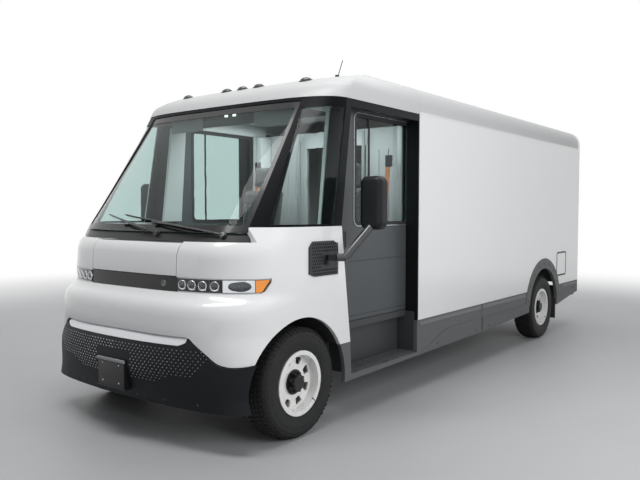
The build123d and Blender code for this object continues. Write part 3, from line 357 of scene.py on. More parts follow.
stud_tree = repeat_tree("studs", "GeometryNodeMeshCone")
block_tree = repeat_tree("blocks", "GeometryNodeMeshCube")


def repeated(name, tree, places, finish, body, width, length, height, top=1.0, sides=6, smooth=False):
    """One solid repeated on places, each (point, facing, lying, size), as one plain mesh on a body."""
    seeds = bpy.data.meshes.new(name + "_seeds")
    seeds.from_pydata([tuple(place[0]) for place in places], [], [])
    for k, label in enumerate(("facing", "lying")):
        layer = seeds.attributes.new(label, "FLOAT_VECTOR", "POINT")
        for value, place in zip(layer.data, places):
            value.vector = tuple(place[k + 1])
    layer = seeds.attributes.new("size", "FLOAT", "POINT")
    for value, place in zip(layer.data, places):
        value.value = place[3] if len(place) > 3 else 1.0
    carrier = mesh_piece(name + "_carrier", seeds)
    modifier = carrier.modifiers.new("repeat", "NODES")
    modifier.node_group = tree
    values = {"Width": width, "Length": length, "Height": height, "Top": top, "Sides": sides,
              "Finish": finish}
    for item in tree.interface.items_tree:
        if item.in_out == "INPUT" and item.name in values:
            modifier[item.identifier] = values[item.name]
    evaluated = carrier.evaluated_get(bpy.context.evaluated_depsgraph_get())
    mesh = bpy.data.meshes.new_from_object(evaluated)
    carrier.modifiers.clear()
    bpy.data.objects.remove(carrier)
    mesh.name = name
    for face in mesh.polygons:
        face.use_smooth = smooth
    piece = mesh_piece(name, mesh)
    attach(piece, body)
    return piece


DOWN, UP, RIGHT, BACK = Vector((0, 0, -1)), Vector((0, 0, 1)), Vector((1, 0, 0)), Vector((0, 1, 0))
wax_black = finish_of("frame_wax_black", (0.022, 0.022, 0.024), 0.5, (90, 0.12), (5, 0.3), 0.15)
road_dust = finish_of("frame_road_dust", (0.05, 0.047, 0.042), 0.75, (120, 0.2), (8, 0.35), 0.1)
cast_alloy = finish_of("battery_cast_alloy", (0.36, 0.37, 0.38), 0.42, (260, 0.18), (3, 0.12), 0.1,
                       metallic=0.85)
zinc = finish_of("zinc_bolts", (0.46, 0.45, 0.42), 0.35, (300, 0.05), (20, 0.15), metallic=1.0)
for node in ("chassis_frame", "leaf_springs", "rear_bumper", "front_suspension"):
    refinished(node, wax_black, crease=25)
for node in ("rear_axle", "steering_knuckle_left", "steering_knuckle_right"):
    refinished(node, road_dust, crease=25)
for node in ("battery_pack", "front_drive_unit"):
    refinished(node, cast_alloy, crease=25)

pack_low, pack_high = [Vector(corner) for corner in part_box("battery_pack")]


def spaced(low, high, margin, count):
    """Evenly spaced places between two ends, the outer ones a margin in from them."""
    return [low + margin + k * (high - low - 2 * margin) / (count - 1) for k in range(count)]


FIN_COUNT, FLANGE_BOLT_COUNT, FLOOR_RIB_COUNT = 28, 18, 9
fins = []
for y in spaced(pack_low.y, pack_high.y, 0.08, FIN_COUNT):
    for x in (pack_low.x - 0.004, pack_high.x + 0.004):
        fins.append((Vector((x, y, (pack_low.z + pack_high.z) / 2)), UP, BACK))
repeated("battery_side_fins", block_tree, fins, cast_alloy, "van_body", 0.008, 0.02, 0.16)
flange_bolts = []
for y in spaced(pack_low.y, pack_high.y, 0.06, FLANGE_BOLT_COUNT):
    for x in (pack_low.x + 0.03, pack_high.x - 0.03):
        flange_bolts.append((Vector((x, y, pack_low.z + 0.001)), DOWN, RIGHT))
repeated("battery_flange_bolts", stud_tree, flange_bolts, zinc, "van_body",
         0.009, 0.009, 0.008)
ribs = bmesh.new()
for x in spaced(pack_low.x, pack_high.x, 0.12, FLOOR_RIB_COUNT):
    bar_stock(ribs, (x - 0.012, pack_low.y + 0.1, pack_low.z - 0.006),
              (x + 0.012, pack_high.y - 0.1, pack_low.z + 0.002), ease=0.003)
closed_piece("battery_floor_ribs", ribs, [cast_alloy], "van_body")

# Coil springs on the front dampers, U-bolts on the leaf springs, and the orange high-voltage conduits,
# which are stiff armoured tubes clipped to the frame.
orange_conduit = finish_of("conduit_orange", (0.75, 0.20, 0.02), 0.45, (500, 0.08), (4, 0.08))
running_gear = bmesh.new()
axle_z = (front_tyre_box[0][2] + front_tyre_box[1][2]) / 2
COIL_X, COIL_RADIUS = 0.51, 0.044
for sign in (1, -1):
    coil = [(sign * COIL_X + COIL_RADIUS * math.cos(0.5 * k), FRONT_AXLE + COIL_RADIUS * math.sin(0.5 * k),
             0.505 + 0.0013 * k) for k in range(80)]
    rod(running_gear, coil, 0.006, 6)
spring_low, spring_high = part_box("leaf_springs")
REAR_AXLE = (spring_low[1] + spring_high[1]) / 2
for sign in (1, -1):
    for offset in (-0.05, 0.05):
        y = REAR_AXLE + offset
        hoop = [(sign * 0.478, y, axle_z - 0.07), (sign * 0.478, y, 0.512), (sign * 0.5, y, 0.522),
                (sign * 0.54, y, 0.522), (sign * 0.562, y, 0.512), (sign * 0.562, y, axle_z - 0.07)]
        rod(running_gear, hoop, 0.008)
closed_piece("springs_and_u_bolts", running_gear, [wax_black], "van_body")
conduits = bmesh.new()
for x, z in ((0.08, 0.515), (-0.08, 0.515)):
    front_run = [(x, behind(0.24), z), (x, behind(0.5), z), (x * 1.4, behind(0.7), 0.485),
                 (x * 1.4, behind(0.885), 0.47)]
    rear_run = [(x, behind(3.79), 0.45), (x, behind(4.0), 0.43), (x, REAR_AXLE - 0.185, 0.41)]
    for run in (front_run, rear_run):
        rod(conduits, run, 0.016, 10)
closed_piece("high_voltage_conduits", conduits, [orange_conduit], "van_body")

# ---------------------------------------------------------------- tyres
# Radial tyres on 16 inch rims.  Each is a moulded carcass with ribbed side walls, and a tread of five
# rows of blocks with shoulder lugs that wrap over onto the side wall.
tyre_rubber = finish_of("tyre_rubber", (0.010, 0.0102, 0.0108), 0.72, (420, 0.25), (9, 0.25), 0.1)
tyre_tread = finish_of("tyre_tread", (0.012, 0.012, 0.0125), 0.85, (300, 0.3), (14, 0.3), 0.08)
SIDES = (("left", 1), ("right", -1))
TREAD_PITCHES = 66
tyre_x = (front_tyre_box[0][0] + front_tyre_box[1][0]) / 2
# Half of the carcass section, as (distance from the tyre's middle, radius), from the bead to the tread.
side_wall = [(0.0945, 0.205), (0.0948, 0.222), (0.1005, 0.228), (0.1035, 0.236), (0.1035, 0.246),
             (0.1065, 0.248), (0.1075, 0.262), (0.1118, 0.278), (0.1125, 0.290), (0.1118, 0.306),
             (0.1085, 0.322), (0.1098, 0.326), (0.1092, 0.331), (0.1065, 0.334), (0.103, 0.350),
             (0.093, 0.361), (0.078, 0.3655)]
carcass = side_wall + [(x, 0.3665) for x in (0.04, 0.0, -0.04)] + [(-x, r) for x, r in reversed(side_wall)]
carcass = carcass + [carcass[0]]
for end, axle_y in (("front", FRONT_AXLE), ("rear", REAR_AXLE)):
    for side, sign in SIDES:
        node = f"{end}_tyre_{side}"
        body = bodies_of_nodes[node]
        middle = Vector((sign * tyre_x, axle_y, axle_z))
        shape = bmesh.new()
        turned_ring(shape, carcass, middle, steps=96)
        tyre = closed_piece(node + "_carcass", shape, [tyre_rubber], body, 40)
        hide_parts(node)
        blocks, lugs = [], []
        for k in range(TREAD_PITCHES):
            for row, x in enumerate((-0.066, -0.033, 0.0, 0.033, 0.066)):
                angle = 2 * math.pi * (k + 0.5 * (row % 2) + 0.22 * row) / TREAD_PITCHES
                out = Vector((0, math.cos(angle), math.sin(angle)))
                along = Vector((0.35 if row % 2 else -0.35, -math.sin(angle), math.cos(angle)))
                blocks.append((middle + Vector((x, 0, 0)) + out * 0.3685, out, along))
            for x in (-1, 1):
                angle = 2 * math.pi * (k + (0.25 if x > 0 else 0.75)) / TREAD_PITCHES
                out = Vector((0, math.cos(angle), math.sin(angle)))
                along = Vector((0, -math.sin(angle), math.cos(angle)))
                lugs.append((middle + Vector((x * 0.0925, 0, 0)) + out * 0.3565,
                             out + Vector((x * 0.75, 0, 0)), along, 1.0 if k % 2 else 0.82))
        repeated(node + "_blocks", block_tree, blocks, tyre_tread, body, 0.0275, 0.0255, 0.012)
        repeated(node + "_shoulder", block_tree, lugs, tyre_tread, body, 0.0215, 0.034, 0.013)

# ---------------------------------------------------------------- steel wheels
# Pressed steel discs welded into their rims and sprayed gloss white, each on a black hub with eight
# flanged nuts, a black centre cap, a rubber valve and a clip-on balance weight.
wheel_white = finish_of("wheel_white_enamel", (0.78, 0.78, 0.77), 0.28, (200, 0.03), (7, 0.05), 0.08,
                        coat_weight=0.6)
hub_black = finish_of("hub_black", (0.012, 0.012, 0.013), 0.35, (150, 0.15), (12, 0.3), 0.12)
nut_steel = finish_of("nut_black_steel", (0.035, 0.035, 0.037), 0.32, (200, 0.1), (30, 0.3), 0.1,
                      metallic=0.7)
HUB_BLACK_RADIUS, NUT_CIRCLE, NUT_COUNT = 0.081, 0.0655, 8
DISC_RADIUS, DISC_EYE = 0.165, 0.079
for end, axle_y in (("front", FRONT_AXLE), ("rear", REAR_AXLE)):
    for side, sign in SIDES:
        node = f"{end}_wheel_{side}"
        body = bodies_of_nodes[node]
        x = sign * tyre_x
        middle = Vector((x, axle_y, axle_z))
        wheel = refinished(node, wheel_white, hub_black, crease=30)
        paint_faces(wheel, 1, lambda at, facing: (at - middle).yz.length < HUB_BLACK_RADIUS)
        nuts = []
        for k in range(NUT_COUNT):
            angle = 2 * math.pi * (k + 0.5) / NUT_COUNT
            out = Vector((0, math.cos(angle), math.sin(angle)))
            nuts.append((middle + Vector((sign * 0.056, 0, 0)) + out * NUT_CIRCLE, Vector((sign, 0, 0)), out))
        repeated(node + "_nuts", stud_tree, nuts, nut_steel, body,
                 0.0105, 0.0105, 0.022, 0.82)
        extras = bmesh.new()
        hub_plate = [(0, 0.060), (sign * 0.002, 0.060), (sign * 0.002, 0.0)]
        turned_ring(extras, hub_plate, (x + sign * 0.0455, axle_y, axle_z), steps=40)
        centre_cap = [(0, 0.0525), (sign * 0.024, 0.051), (sign * 0.033, 0.047), (sign * 0.036, 0.040),
                      (sign * 0.033, 0.036), (sign * 0.033, 0.0)]
        turned_ring(extras, centre_cap, (x + sign * 0.058, axle_y, axle_z), steps=40)
        valve = [(x + sign * 0.045, axle_y, axle_z + 0.172), (x + sign * 0.068, axle_y, axle_z + 0.168)]
        rod(extras, valve, 0.006, 10)
        weight_x = x + sign * 0.098
        bar_stock(extras, (weight_x - 0.006, axle_y + 0.13, axle_z - 0.148),
                  (weight_x + 0.006, axle_y + 0.16, axle_z - 0.138),
                  ease=0.002, turned=Matrix.Rotation(math.radians(-45), 3, "X"))
        disc = [(-sign * 0.066, DISC_EYE), (-sign * 0.066, DISC_RADIUS),
                (-sign * 0.044, DISC_RADIUS), (-sign * 0.044, DISC_EYE)]
        turned_ring(extras, disc, middle, steps=48, index=1)
        closed_piece(node + "_cap_and_disc", extras, [hub_black, road_dust], body)

# ---------------------------------------------------------------- painted body
# Fibreglass nose and roof mouldings and aluminium side sheets.  Nose and sides are in gloss white over
# primer that is speckled darker towards the sills; the roof caps take a duller, darker copy of the white,
# painted shade.


def body_paint(name, colour, rough, coat):
    """White paint with a clear coat, the faint ripple of spraying and speckled darkening low down."""
    paint = finish_of(name, colour, rough, (38, 0.012), (0.8, 0.012), 0.05,
                      coat_weight=coat, coat_roughness=0.035, coat_ior=1.5)
    tree = paint.node_tree
    place = tree.nodes["Texture Coordinate"].outputs["Object"]
    height = wired(tree, "ShaderNodeSeparateXYZ", {"Vector": place})
    # The colour is mixed towards a warm grey in specks, the more the lower it lies.
    low = wired(tree, "ShaderNodeMapRange", {"Value": height.outputs["Z"], "From Min": 0.55, "From Max": 1.0,
                                             "To Min": 0.30, "To Max": 0.0})
    specks = wired(tree, "ShaderNodeTexNoise", {"Vector": place, "Scale": 9, "Detail": 8})
    amount = wired(tree, "ShaderNodeMath", {0: low.outputs["Result"], 1: specks.outputs["Fac"]},
                   operation="MULTIPLY")
    clean = tree.nodes["tint"].outputs[2]
    darkened_low = wired(tree, "ShaderNodeMix", {0: amount.outputs[0], 6: clean, 7: (0.56, 0.55, 0.53, 1)},
                  data_type="RGBA")
    tree.links.new(darkened_low.outputs[2], tree.nodes["Principled BSDF"].inputs["Base Color"])
    return paint


white_gloss = body_paint("body_white_gloss", (0.79, 0.80, 0.81), 0.32, 0.85)
# The roof caps are painted a darker white than the sides: painted shade, since the roof falls darker in the
# light.
roof_white_shaded = body_paint("roof_white_painted_shade", (0.56, 0.57, 0.575), 0.5, 0.12)
for node in ("hood", "front_fascia"):
    refinished(node, white_gloss, crease=38)
for node in ("fender_left", "fender_right", "cargo_side_left", "cargo_side_right", "rear_frame",
             "rear_door_left", "rear_door_right"):
    refinished(node, white_gloss, crease=30)
for node in ("cab_roof", "cargo_roof"):
    refinished(node, roof_white_shaded, crease=38)

# A gutter strip folded from aluminium is bonded along the upper edge of each side, under the cant rail.
drip = bmesh.new()
side_low, side_high = [Vector(corner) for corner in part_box("cargo_side_left")]
for sign in (1, -1):
    low_x, high_x = sorted((sign * side_high.x, sign * (side_high.x + 0.004)))
    bar_stock(drip, (low_x, side_low.y + 0.01, side_high.z - 0.003),
              (high_x, side_high.y + 0.07, side_high.z + 0.006), ease=0.0015)
closed_piece("gutter_strips", drip, [white_gloss], "van_body")

# ---------------------------------------------------------------- charge port
# A white door in a grey rubber frame on the left side; behind it a black socket plate with a round
# inlet and two power sockets below it.
rubber_grey = finish_of("rubber_grey", (0.075, 0.078, 0.08), 0.7, (350, 0.1), (20, 0.1))
socket_black = finish_of("socket_black", (0.015, 0.015, 0.016), 0.45, (400, 0.08), (12, 0.15))
refinished("charge_port_door", white_gloss, crease=30)
door_low, door_high = [Vector(corner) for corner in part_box("charge_port_door")]
door_low.z, door_high.z = door_low.z + 0.016, door_high.z - 0.016
frame_ring = bmesh.new()


def rounded_loop(low_y, high_y, low_z, high_z, radius, steps=6):
    """Points of a rounded rectangle in the YZ plane, counter-clockwise seen from +X."""
    loop = []
    for cy, cz, start in ((high_y - radius, high_z - radius, 0), (low_y + radius, high_z - radius, 90),
                          (low_y + radius, low_z + radius, 180), (high_y - radius, low_z + radius, 270)):
        for k in range(steps + 1):
            angle = math.radians(start + 90 * k / steps)
            loop.append((cy + radius * math.cos(angle), cz + radius * math.sin(angle)))
    return loop


def flat_ring(shape, outer, inner, x, thick, index=0):
    """A flat ring between two loops of the same length, standing out from x by thick."""
    rows = []
    for depth in (0, thick):
        for loop in (outer, inner):
            rows.append([shape.verts.new((x + depth, y, z)) for y, z in loop])
    count = len(outer)
    for a, b in ((0, 2), (2, 3), (3, 1), (1, 0)):
        for k in range(count):
            face = (rows[a][k], rows[a][(k + 1) % count], rows[b][(k + 1) % count], rows[b][k])
            shape.faces.new(face).material_index = index


seal_outer = rounded_loop(door_low.y - 0.030, door_high.y + 0.021, door_low.z - 0.023, door_high.z + 0.023,
                          0.040)
seal_inner = rounded_loop(door_low.y - 0.0145, door_high.y + 0.0065,
                          door_low.z - 0.0065, door_high.z + 0.0065, 0.026)
flat_ring(frame_ring, seal_outer, seal_inner, side_high.x - 0.001, 0.0025)
closed_piece("charge_port_seal", frame_ring, [rubber_grey], "van_body")
inlet = bmesh.new()
mid_y, mid_z = (door_low.y + door_high.y) / 2, (door_low.z + door_high.z) / 2
bar_stock(inlet, (side_high.x - 0.034, door_low.y + 0.03, door_low.z + 0.03),
          (side_high.x - 0.028, door_high.y - 0.03, door_high.z - 0.03), ease=0.002)
round_inlet = [(-0.028, 0.0), (-0.018, 0.0), (-0.018, 0.024), (-0.014, 0.026), (-0.014, 0.031),
               (-0.028, 0.033)]
turned_ring(inlet, round_inlet, (side_high.x, mid_y, mid_z + 0.035), steps=32)
power_pin = [(-0.028, 0.0), (-0.016, 0.0), (-0.016, 0.012), (-0.014, 0.013), (-0.014, 0.018),
             (-0.028, 0.019)]
for offset in (-0.024, 0.024):
    turned_ring(inlet, power_pin, (side_high.x, mid_y + offset, mid_z - 0.045), steps=24)
closed_piece("charge_inlet", inlet, [socket_black], "van_body")

# ---------------------------------------------------------------- lower cladding
# Charcoal sheet-moulded skirts in three lengths with a bevelled upper edge, a proud wheel-arch flare,
# a raised wedge behind the step and ribbed rubber mud flaps behind the rear wheels.
charcoal = finish_of("cladding_charcoal", (0.092, 0.098, 0.103), 0.55, (520, 0.28), (4, 0.06), 0.06)
# The bevelled upper edge of the skirts is painted lighter: a painted highlight on a face that tips up to the
# light.
charcoal_lit_edge = finish_of("cladding_painted_highlight_edge", (0.12, 0.125, 0.13), 0.5, (520, 0.22), (6, 0.08), 0.06)
flap_rubber = finish_of("flap_rubber", (0.025, 0.025, 0.026), 0.75, (200, 0.2), (15, 0.25))
SKIRT_X, ARCH_SCREW_RADIUS = 1.055, 0.535
FLAP_Y = REAR_AXLE + 0.480


def set_bar(shape, across, along, up, index=0, ease=0.0, sign=1):
    """A bar between two places across from the middle plane, on the left or at sign -1 on the right,
    two places behind the front axle and two heights."""
    x0, x1 = sorted((sign * across[0], sign * across[1]))
    bar_stock(shape, (x0, behind(along[0]), up[0]), (x1, behind(along[1]), up[1]), index, ease)


for side, sign in SIDES:
    skirt = refinished("skirt_" + side, charcoal, flap_rubber, crease=25)
    paint_faces(skirt, 1, lambda at, facing: abs(at.y - FLAP_Y) < 0.0075 and abs(at.x) < 1.04)
    x0 = sign * SKIRT_X
    trims = bmesh.new()

    def facet(points, index=0):
        """A flat closed facet whose back lies on the skirt: (y, z, out) points."""
        front = [trims.verts.new((x0 + sign * out, behind(y), z)) for y, z, out in points]
        rear = [trims.verts.new((x0 - sign * 0.004, behind(y), z)) for y, z, out in points]
        skin_over(trims, (front, rear), index)

    # Facets at index 1 carry the painted highlight of the bevelled upper edge.
    facet([(1.575, 0.590, 0.001), (2.82, 0.590, 0.001), (2.82, 0.560, 0.006), (1.575, 0.560, 0.006)], 1)
    facet([(2.86, 0.590, 0.001), (4.02, 0.590, 0.001), (4.03, 0.560, 0.006), (2.86, 0.560, 0.006)], 1)
    facet([(1.70, 0.318, 0.003), (1.60, 0.322, 0.003), (2.02, 0.452, 0.007), (2.16, 0.470, 0.007),
           (2.82, 0.470, 0.007), (2.82, 0.335, 0.003)])
    facet([(2.86, 0.335, 0.003), (2.86, 0.470, 0.007), (4.05, 0.470, 0.007), (4.08, 0.38, 0.003)])
    facet([(5.30, 0.590, 0.001), (5.90, 0.590, 0.001), (5.90, 0.565, 0.006), (5.30, 0.565, 0.006)], 1)
    bar_stock(trims, (min(x0, x0 - sign * 0.004), behind(2.838), 0.325),
              (max(x0, x0 + sign * 0.0012), behind(2.842), 0.604), index=2)
    closed_piece("skirt_facets_" + side, trims, [charcoal, charcoal_lit_edge, flap_rubber],
                 "van_body", 20)
    outward = Vector((sign, 0, 0))
    screws = [(Vector((x0, behind(y), 0.345)), outward, BACK) for y in (0.62, 1.05, 1.5)]
    screws += [(Vector((x0 + sign * 0.004, behind(y), z)), outward, BACK)
               for y, z in ((1.9, 0.36), (2.7, 0.36), (3.0, 0.37), (3.9, 0.40), (5.72, 0.52))]
    for k in range(9):
        angle = math.radians(14 + 19 * k)
        arch_y = REAR_AXLE + ARCH_SCREW_RADIUS * math.cos(angle)
        arch_z = 0.37 + ARCH_SCREW_RADIUS * math.sin(angle)
        screws.append((Vector((x0 + sign * 0.006, arch_y, arch_z)), outward, BACK))
    repeated("skirt_screws_" + side, stud_tree, screws, flap_rubber, "van_body",
             0.008, 0.008, 0.004, 0.7, 12)
flap_ribs = [(Vector((sign * (0.82 + 0.035 * k), FLAP_Y + 0.009, 0.35)), BACK, RIGHT)
             for sign in (1, -1) for k in range(6)]
repeated("mud_flap_ribs", block_tree, flap_ribs, flap_rubber, "van_body", 0.008, 0.30, 0.006)

# ---------------------------------------------------------------- front bumper
# One black moulding with a satin metal ledge on its upper edge.  A field of small triangular dimples
# fades out towards the corners; screws hold its lower edge and a plain plate sits in its holder.
bumper_black = finish_of("bumper_grained_black", (0.0075, 0.0085, 0.0105), 0.5, (460, 0.3), (5, 0.12), 0.07,
                         specular_ior_level=0.2)
ledge_satin = finish_of("ledge_satin_metal", (0.62, 0.63, 0.65), 0.3, (60, 0.02), (6, 0.05), 0.06,
                        (0.2, 8, 8), metallic=0.75)
dimple_bright = finish_of("dimple_bright", (0.42, 0.44, 0.47), 0.28, (200, 0.02), (30, 0.1), 0.05,
                          metallic=0.3)
plate_black = finish_of("plate_matt_black", (0.02, 0.02, 0.021), 0.42, (300, 0.1), (10, 0.1))
plate_bracket = finish_of("plate_bracket_grey", (0.30, 0.31, 0.32), 0.5, (300, 0.1), (10, 0.1))
bumper = refinished("front_bumper", bumper_black, crease=36)
# The face of the plate holder is set back, so that plate and bracket stay inside the bumper's outline.
HOLDER_RECESS = 0.013
holder_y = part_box("front_bumper")[0][1]
for corner in bumper.data.vertices:
    if corner.co.y < holder_y + 0.002:
        corner.co.y += HOLDER_RECESS
holder_y += HOLDER_RECESS


def surface_tree(*nodes):
    """A search tree over the outer faces of some CAD nodes, to lay trim on them."""
    shape = bmesh.new()
    for node in nodes:
        shape.from_mesh(frame["nodes"][node].data)
    found = BVHTree.FromBMesh(shape)
    shape.free()
    return found


def struck(tree, start, ray):
    """The first point of a surface along a ray, and its normal that looks back along it."""
    at, facing = tree.ray_cast(start, ray)[:2]
    if at is None:
        return None, None
    if facing.dot(ray) > 0:
        facing = -facing
    return at, facing


def on_front(tree, x, z):
    """The point of a surface straight ahead at x and z, and its outward normal."""
    return struck(tree, Vector((x, FRONT_AXLE - 2, z)), BACK)


def around(tree, angle, z):
    """The point of a surface seen from its middle at an angle from straight ahead, and its normal."""
    ray = Vector((math.sin(angle), -math.cos(angle), 0))
    return struck(tree, Vector((0, behind(0.1), z)) + ray * 3, -ray)


bumper_face = surface_tree("front_bumper")
dimples = []
DIMPLE_ROWS, DIMPLE_PITCH, DIMPLE_DROP = 12, 0.0345, 0.0195
for row in range(DIMPLE_ROWS):
    for column in range(-26, 27):
        x = DIMPLE_PITCH * (column + 0.5 * (row % 2))
        z = 0.655 - DIMPLE_DROP * row
        reach = 0.86 - 0.02 * row
        behind_plate = abs(x) < 0.185 and z < 0.60
        below_ends = row > 8 and abs(x) > 0.42 + 0.05 * (11 - row)
        if abs(x) > reach or behind_plate or below_ends:
            continue
        at, facing = on_front(bumper_face, x, z)
        if at is None:
            continue
        fade = max(0.25, 1.0 - abs(x) / 0.95) * (1.0 if row < 9 else 0.75)
        dimples.append((at, facing, Vector((0.86 if x > 0 else -0.86, 0, 0.5)), 0.55 + 0.6 * fade))
repeated("bumper_dimples", stud_tree, dimples, dimple_bright, "van_body",
         0.0092, 0.0055, 0.0040, 0.35, 3)

ledge = bmesh.new()
rows = []
for k in range(49):
    x = -0.645 + 1.29 * k / 48
    fade = min(1.0, (0.66 - abs(x)) / 0.06)
    line = []
    narrowing = 1 - fade
    for z, lift in ((0.7365, -0.006), (0.7355, 0.004), (0.710, 0.0055),
                    (0.684 + 0.030 * narrowing, 0.004), (0.681 + 0.031 * narrowing, -0.004)):
        at, facing = on_front(bumper_face, x, z)
        line.append(ledge.verts.new(at + facing * lift))
    rows.append(line)
skin_over(ledge, rows)
closed_piece("bumper_ledge", ledge, [ledge_satin], "van_body")

bumper_screws = []
for x in (-0.72, -0.45, -0.2, 0.2, 0.45, 0.72):
    at, facing = on_front(bumper_face, x, 0.315)
    bumper_screws.append((at, facing, RIGHT))
repeated("bumper_screws", stud_tree, bumper_screws, hub_black, "van_body",
         0.009, 0.009, 0.005, 0.6, 12)
plate = bmesh.new()
bar_stock(plate, (-0.142, holder_y - 0.004, 0.352), (0.142, holder_y + 0.001, 0.515), 0, 0.0018)
bar_stock(plate, (-0.150, holder_y - 0.012, 0.520), (0.150, holder_y + 0.004, 0.541), 1, 0.004)
bar_stock(plate, (-0.150, holder_y - 0.006, 0.341), (0.150, holder_y + 0.002, 0.349), 0, 0.002)
closed_piece("blank_front_plate", plate, [plate_black, plate_bracket], "van_body")
plate_screws = [(Vector((x, holder_y - 0.005, z)), Vector((0, -1, 0)), RIGHT)
                for x in (-0.089, 0.089) for z in (0.3795, 0.5005)]
repeated("front_plate_screws", stud_tree, plate_screws, zinc, "van_body",
         0.006, 0.006, 0.003, 0.7, 12)

# ---------------------------------------------------------------- cab glass and its black frame
# Laminated windscreen and tempered side glass with a light green tint, bonded into a gloss black frame
# that has the front pillars in one piece with it.  A black enamel band hides the glue line.


def tinted_glass(name, colour, rough=0.0):
    """Clear tinted glass that lets light through to the cab without a hard shadow."""
    glass = bpy.data.materials.new(name)
    glass.use_nodes = True
    tree = glass.node_tree
    shader = tree.nodes["Principled BSDF"]
    for socket, value in (("Base Color", (*colour, 1)), ("Roughness", rough), ("IOR", 1.2),
                          ("Transmission Weight", 1.0)):
        shader.inputs[socket].default_value = value
    place = wired(tree, "ShaderNodeTexCoord").outputs["Object"]
    ripple = wired(tree, "ShaderNodeTexNoise", {"Vector": place, "Scale": 1.5})
    relief = wired(tree, "ShaderNodeBump", {"Height": ripple.outputs["Fac"], "Strength": 0.008,
                                            "Distance": 0.002})
    tree.links.new(relief.outputs["Normal"], shader.inputs["Normal"])
    clear = wired(tree, "ShaderNodeBsdfTransparent", {"Color": (*[0.7 + 0.3 * c for c in colour], 1)})
    shadow_ray = wired(tree, "ShaderNodeLightPath").outputs["Is Shadow Ray"]
    either = wired(tree, "ShaderNodeMixShader",
                   {"Fac": shadow_ray, 1: shader.outputs["BSDF"], 2: clear.outputs["BSDF"]})
    tree.links.new(either.outputs["Shader"], tree.nodes["Material Output"].inputs["Surface"])
    return glass


green_glass = tinted_glass("green_tint_glass", (0.64, 0.75, 0.735))
frame_gloss = finish_of("frame_gloss_black", (0.007, 0.0075, 0.009), 0.34, (60, 0.008), (3, 0.2), 0.06,
                        specular_ior_level=0.04)
enamel_band = finish_of("glass_enamel_band", (0.008, 0.0085, 0.01), 0.22, (60, 0.006), (5, 0.1), 0.05,
                        specular_ior_level=0.25, coat_weight=0.2)
cowl_black = finish_of("cowl_black", (0.012, 0.0125, 0.014), 0.38, (300, 0.08), (6, 0.15),
                       specular_ior_level=0.3)
for node in ("windshield", "quarter_windows", "sliding_door_glass_left", "sliding_door_glass_right"):
    refinished(node, green_glass, crease=40)
refinished("windshield_frame", frame_gloss, crease=36)
refinished("cowl_panel", cowl_black, crease=36)
glass_face = surface_tree("windshield")


def front_band(shape, tree, corners, lift, thick, across=40, index=0):
    """A band laid on a front surface between two lines of (x, z), each given at its two ends."""
    (a0, a1), (b0, b1) = corners
    rows = []
    for k in range(across + 1):
        s = k / across
        line = []
        for (x0, z0), (x1, z1), lifts in ((a0, a1, (lift - thick, lift)), (b0, b1, (lift, lift - thick))):
            at, facing = on_front(tree, x0 + (x1 - x0) * s, z0 + (z1 - z0) * s)
            if at is None:
                return
            line += [shape.verts.new(at + facing * out) for out in lifts]
        rows.append(line)
    skin_over(shape, rows, index)


band = bmesh.new()
low_x, top_x = 0.868, 0.812
foot_band = (((-low_x, 1.396), (low_x, 1.396)), ((-low_x + 0.004, 1.44), (low_x - 0.004, 1.44)))
head_band = (((-top_x - 0.003, 2.268), (top_x + 0.003, 2.268)), ((-top_x, 2.322), (top_x, 2.322)))
side_bands = [(((sign * 0.866, 1.40), (sign * 0.810, 2.32)), ((sign * 0.838, 1.40), (sign * 0.786, 2.32)))
              for sign in (1, -1)]
for corners in (foot_band, head_band, *side_bands):
    front_band(band, glass_face, corners, 0.0012, 0.001)
closed_piece("windscreen_enamel_band", band, [enamel_band], "van_body")

# ---------------------------------------------------------------- wipers
# Two black steel arms on round spindle caps, sprung down on the glass, each with a flat blade in a
# plastic spoiler and a rubber lip.
wiper_black = finish_of("wiper_satin_black", (0.014, 0.014, 0.015), 0.32, (200, 0.05), (9, 0.2), 0.08,
                        coat_weight=0.3)
wiper_rubber = finish_of("wiper_rubber", (0.02, 0.02, 0.02), 0.7, (300, 0.1), (9, 0.2))
wipers = bmesh.new()
nose_face = surface_tree("windshield", "cowl_panel", "front_fascia")


def seated(at, facing):
    """The move that seats an upright shape made at the origin on a surface point."""
    return Matrix.Translation(at) @ facing.to_track_quat("Z", "Y").to_matrix().to_4x4()


WIPER_PIVOT_Z, WIPER_TIP_Z = 1.374, 1.486
for pivot, tip in ((0.149, -0.518), (0.727, -0.299)):
    run, climb = tip - pivot, WIPER_TIP_Z - WIPER_PIVOT_Z
    base, facing = on_front(nose_face, pivot, WIPER_PIVOT_Z)
    for radius, low, high in ((0.026, -0.02, 0.012), (0.019, 0.010, 0.024)):
        cone = bmesh.ops.create_cone(wipers, cap_ends=True, segments=20, radius1=radius,
                                     radius2=radius * 0.86, depth=high - low)["verts"]
        seat = seated(base + facing * (low + high) / 2, facing)
        bmesh.ops.transform(wipers, matrix=seat, verts=cone)
    arm = []
    for k in range(11):
        s = k / 10 * 0.62
        at, facing = on_front(nose_face, pivot + run * s, WIPER_PIVOT_Z + climb * s)
        arm.append(at + facing * (0.018 + 0.016 * math.sin(math.pi * min(s / 0.62, 1)) + 0.004))
    rod(wipers, arm, 0.0095, 8, flat=0.6)
    blade, lip = [], []
    for k in range(21):
        s = 0.16 + 0.84 * k / 20
        at, facing = on_front(nose_face, pivot + run * s, WIPER_PIVOT_Z + 0.012 + climb * s)
        blade.append(at + facing * 0.016)
        lip.append(at + facing * 0.006)
    rod(wipers, blade, 0.0085, 8, flat=0.55)
    rod(wipers, lip, 0.004, 6, index=1)
    bar_stock(wipers, arm[-1] - Vector((0.02, 0.012, 0.012)), arm[-1] + Vector((0.02, 0.006, 0.008)),
              ease=0.003)
wiper_piece = closed_piece("wiper_arms_and_blades", wipers, [wiper_black, wiper_rubber],
                           "van_body")
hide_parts("wipers")

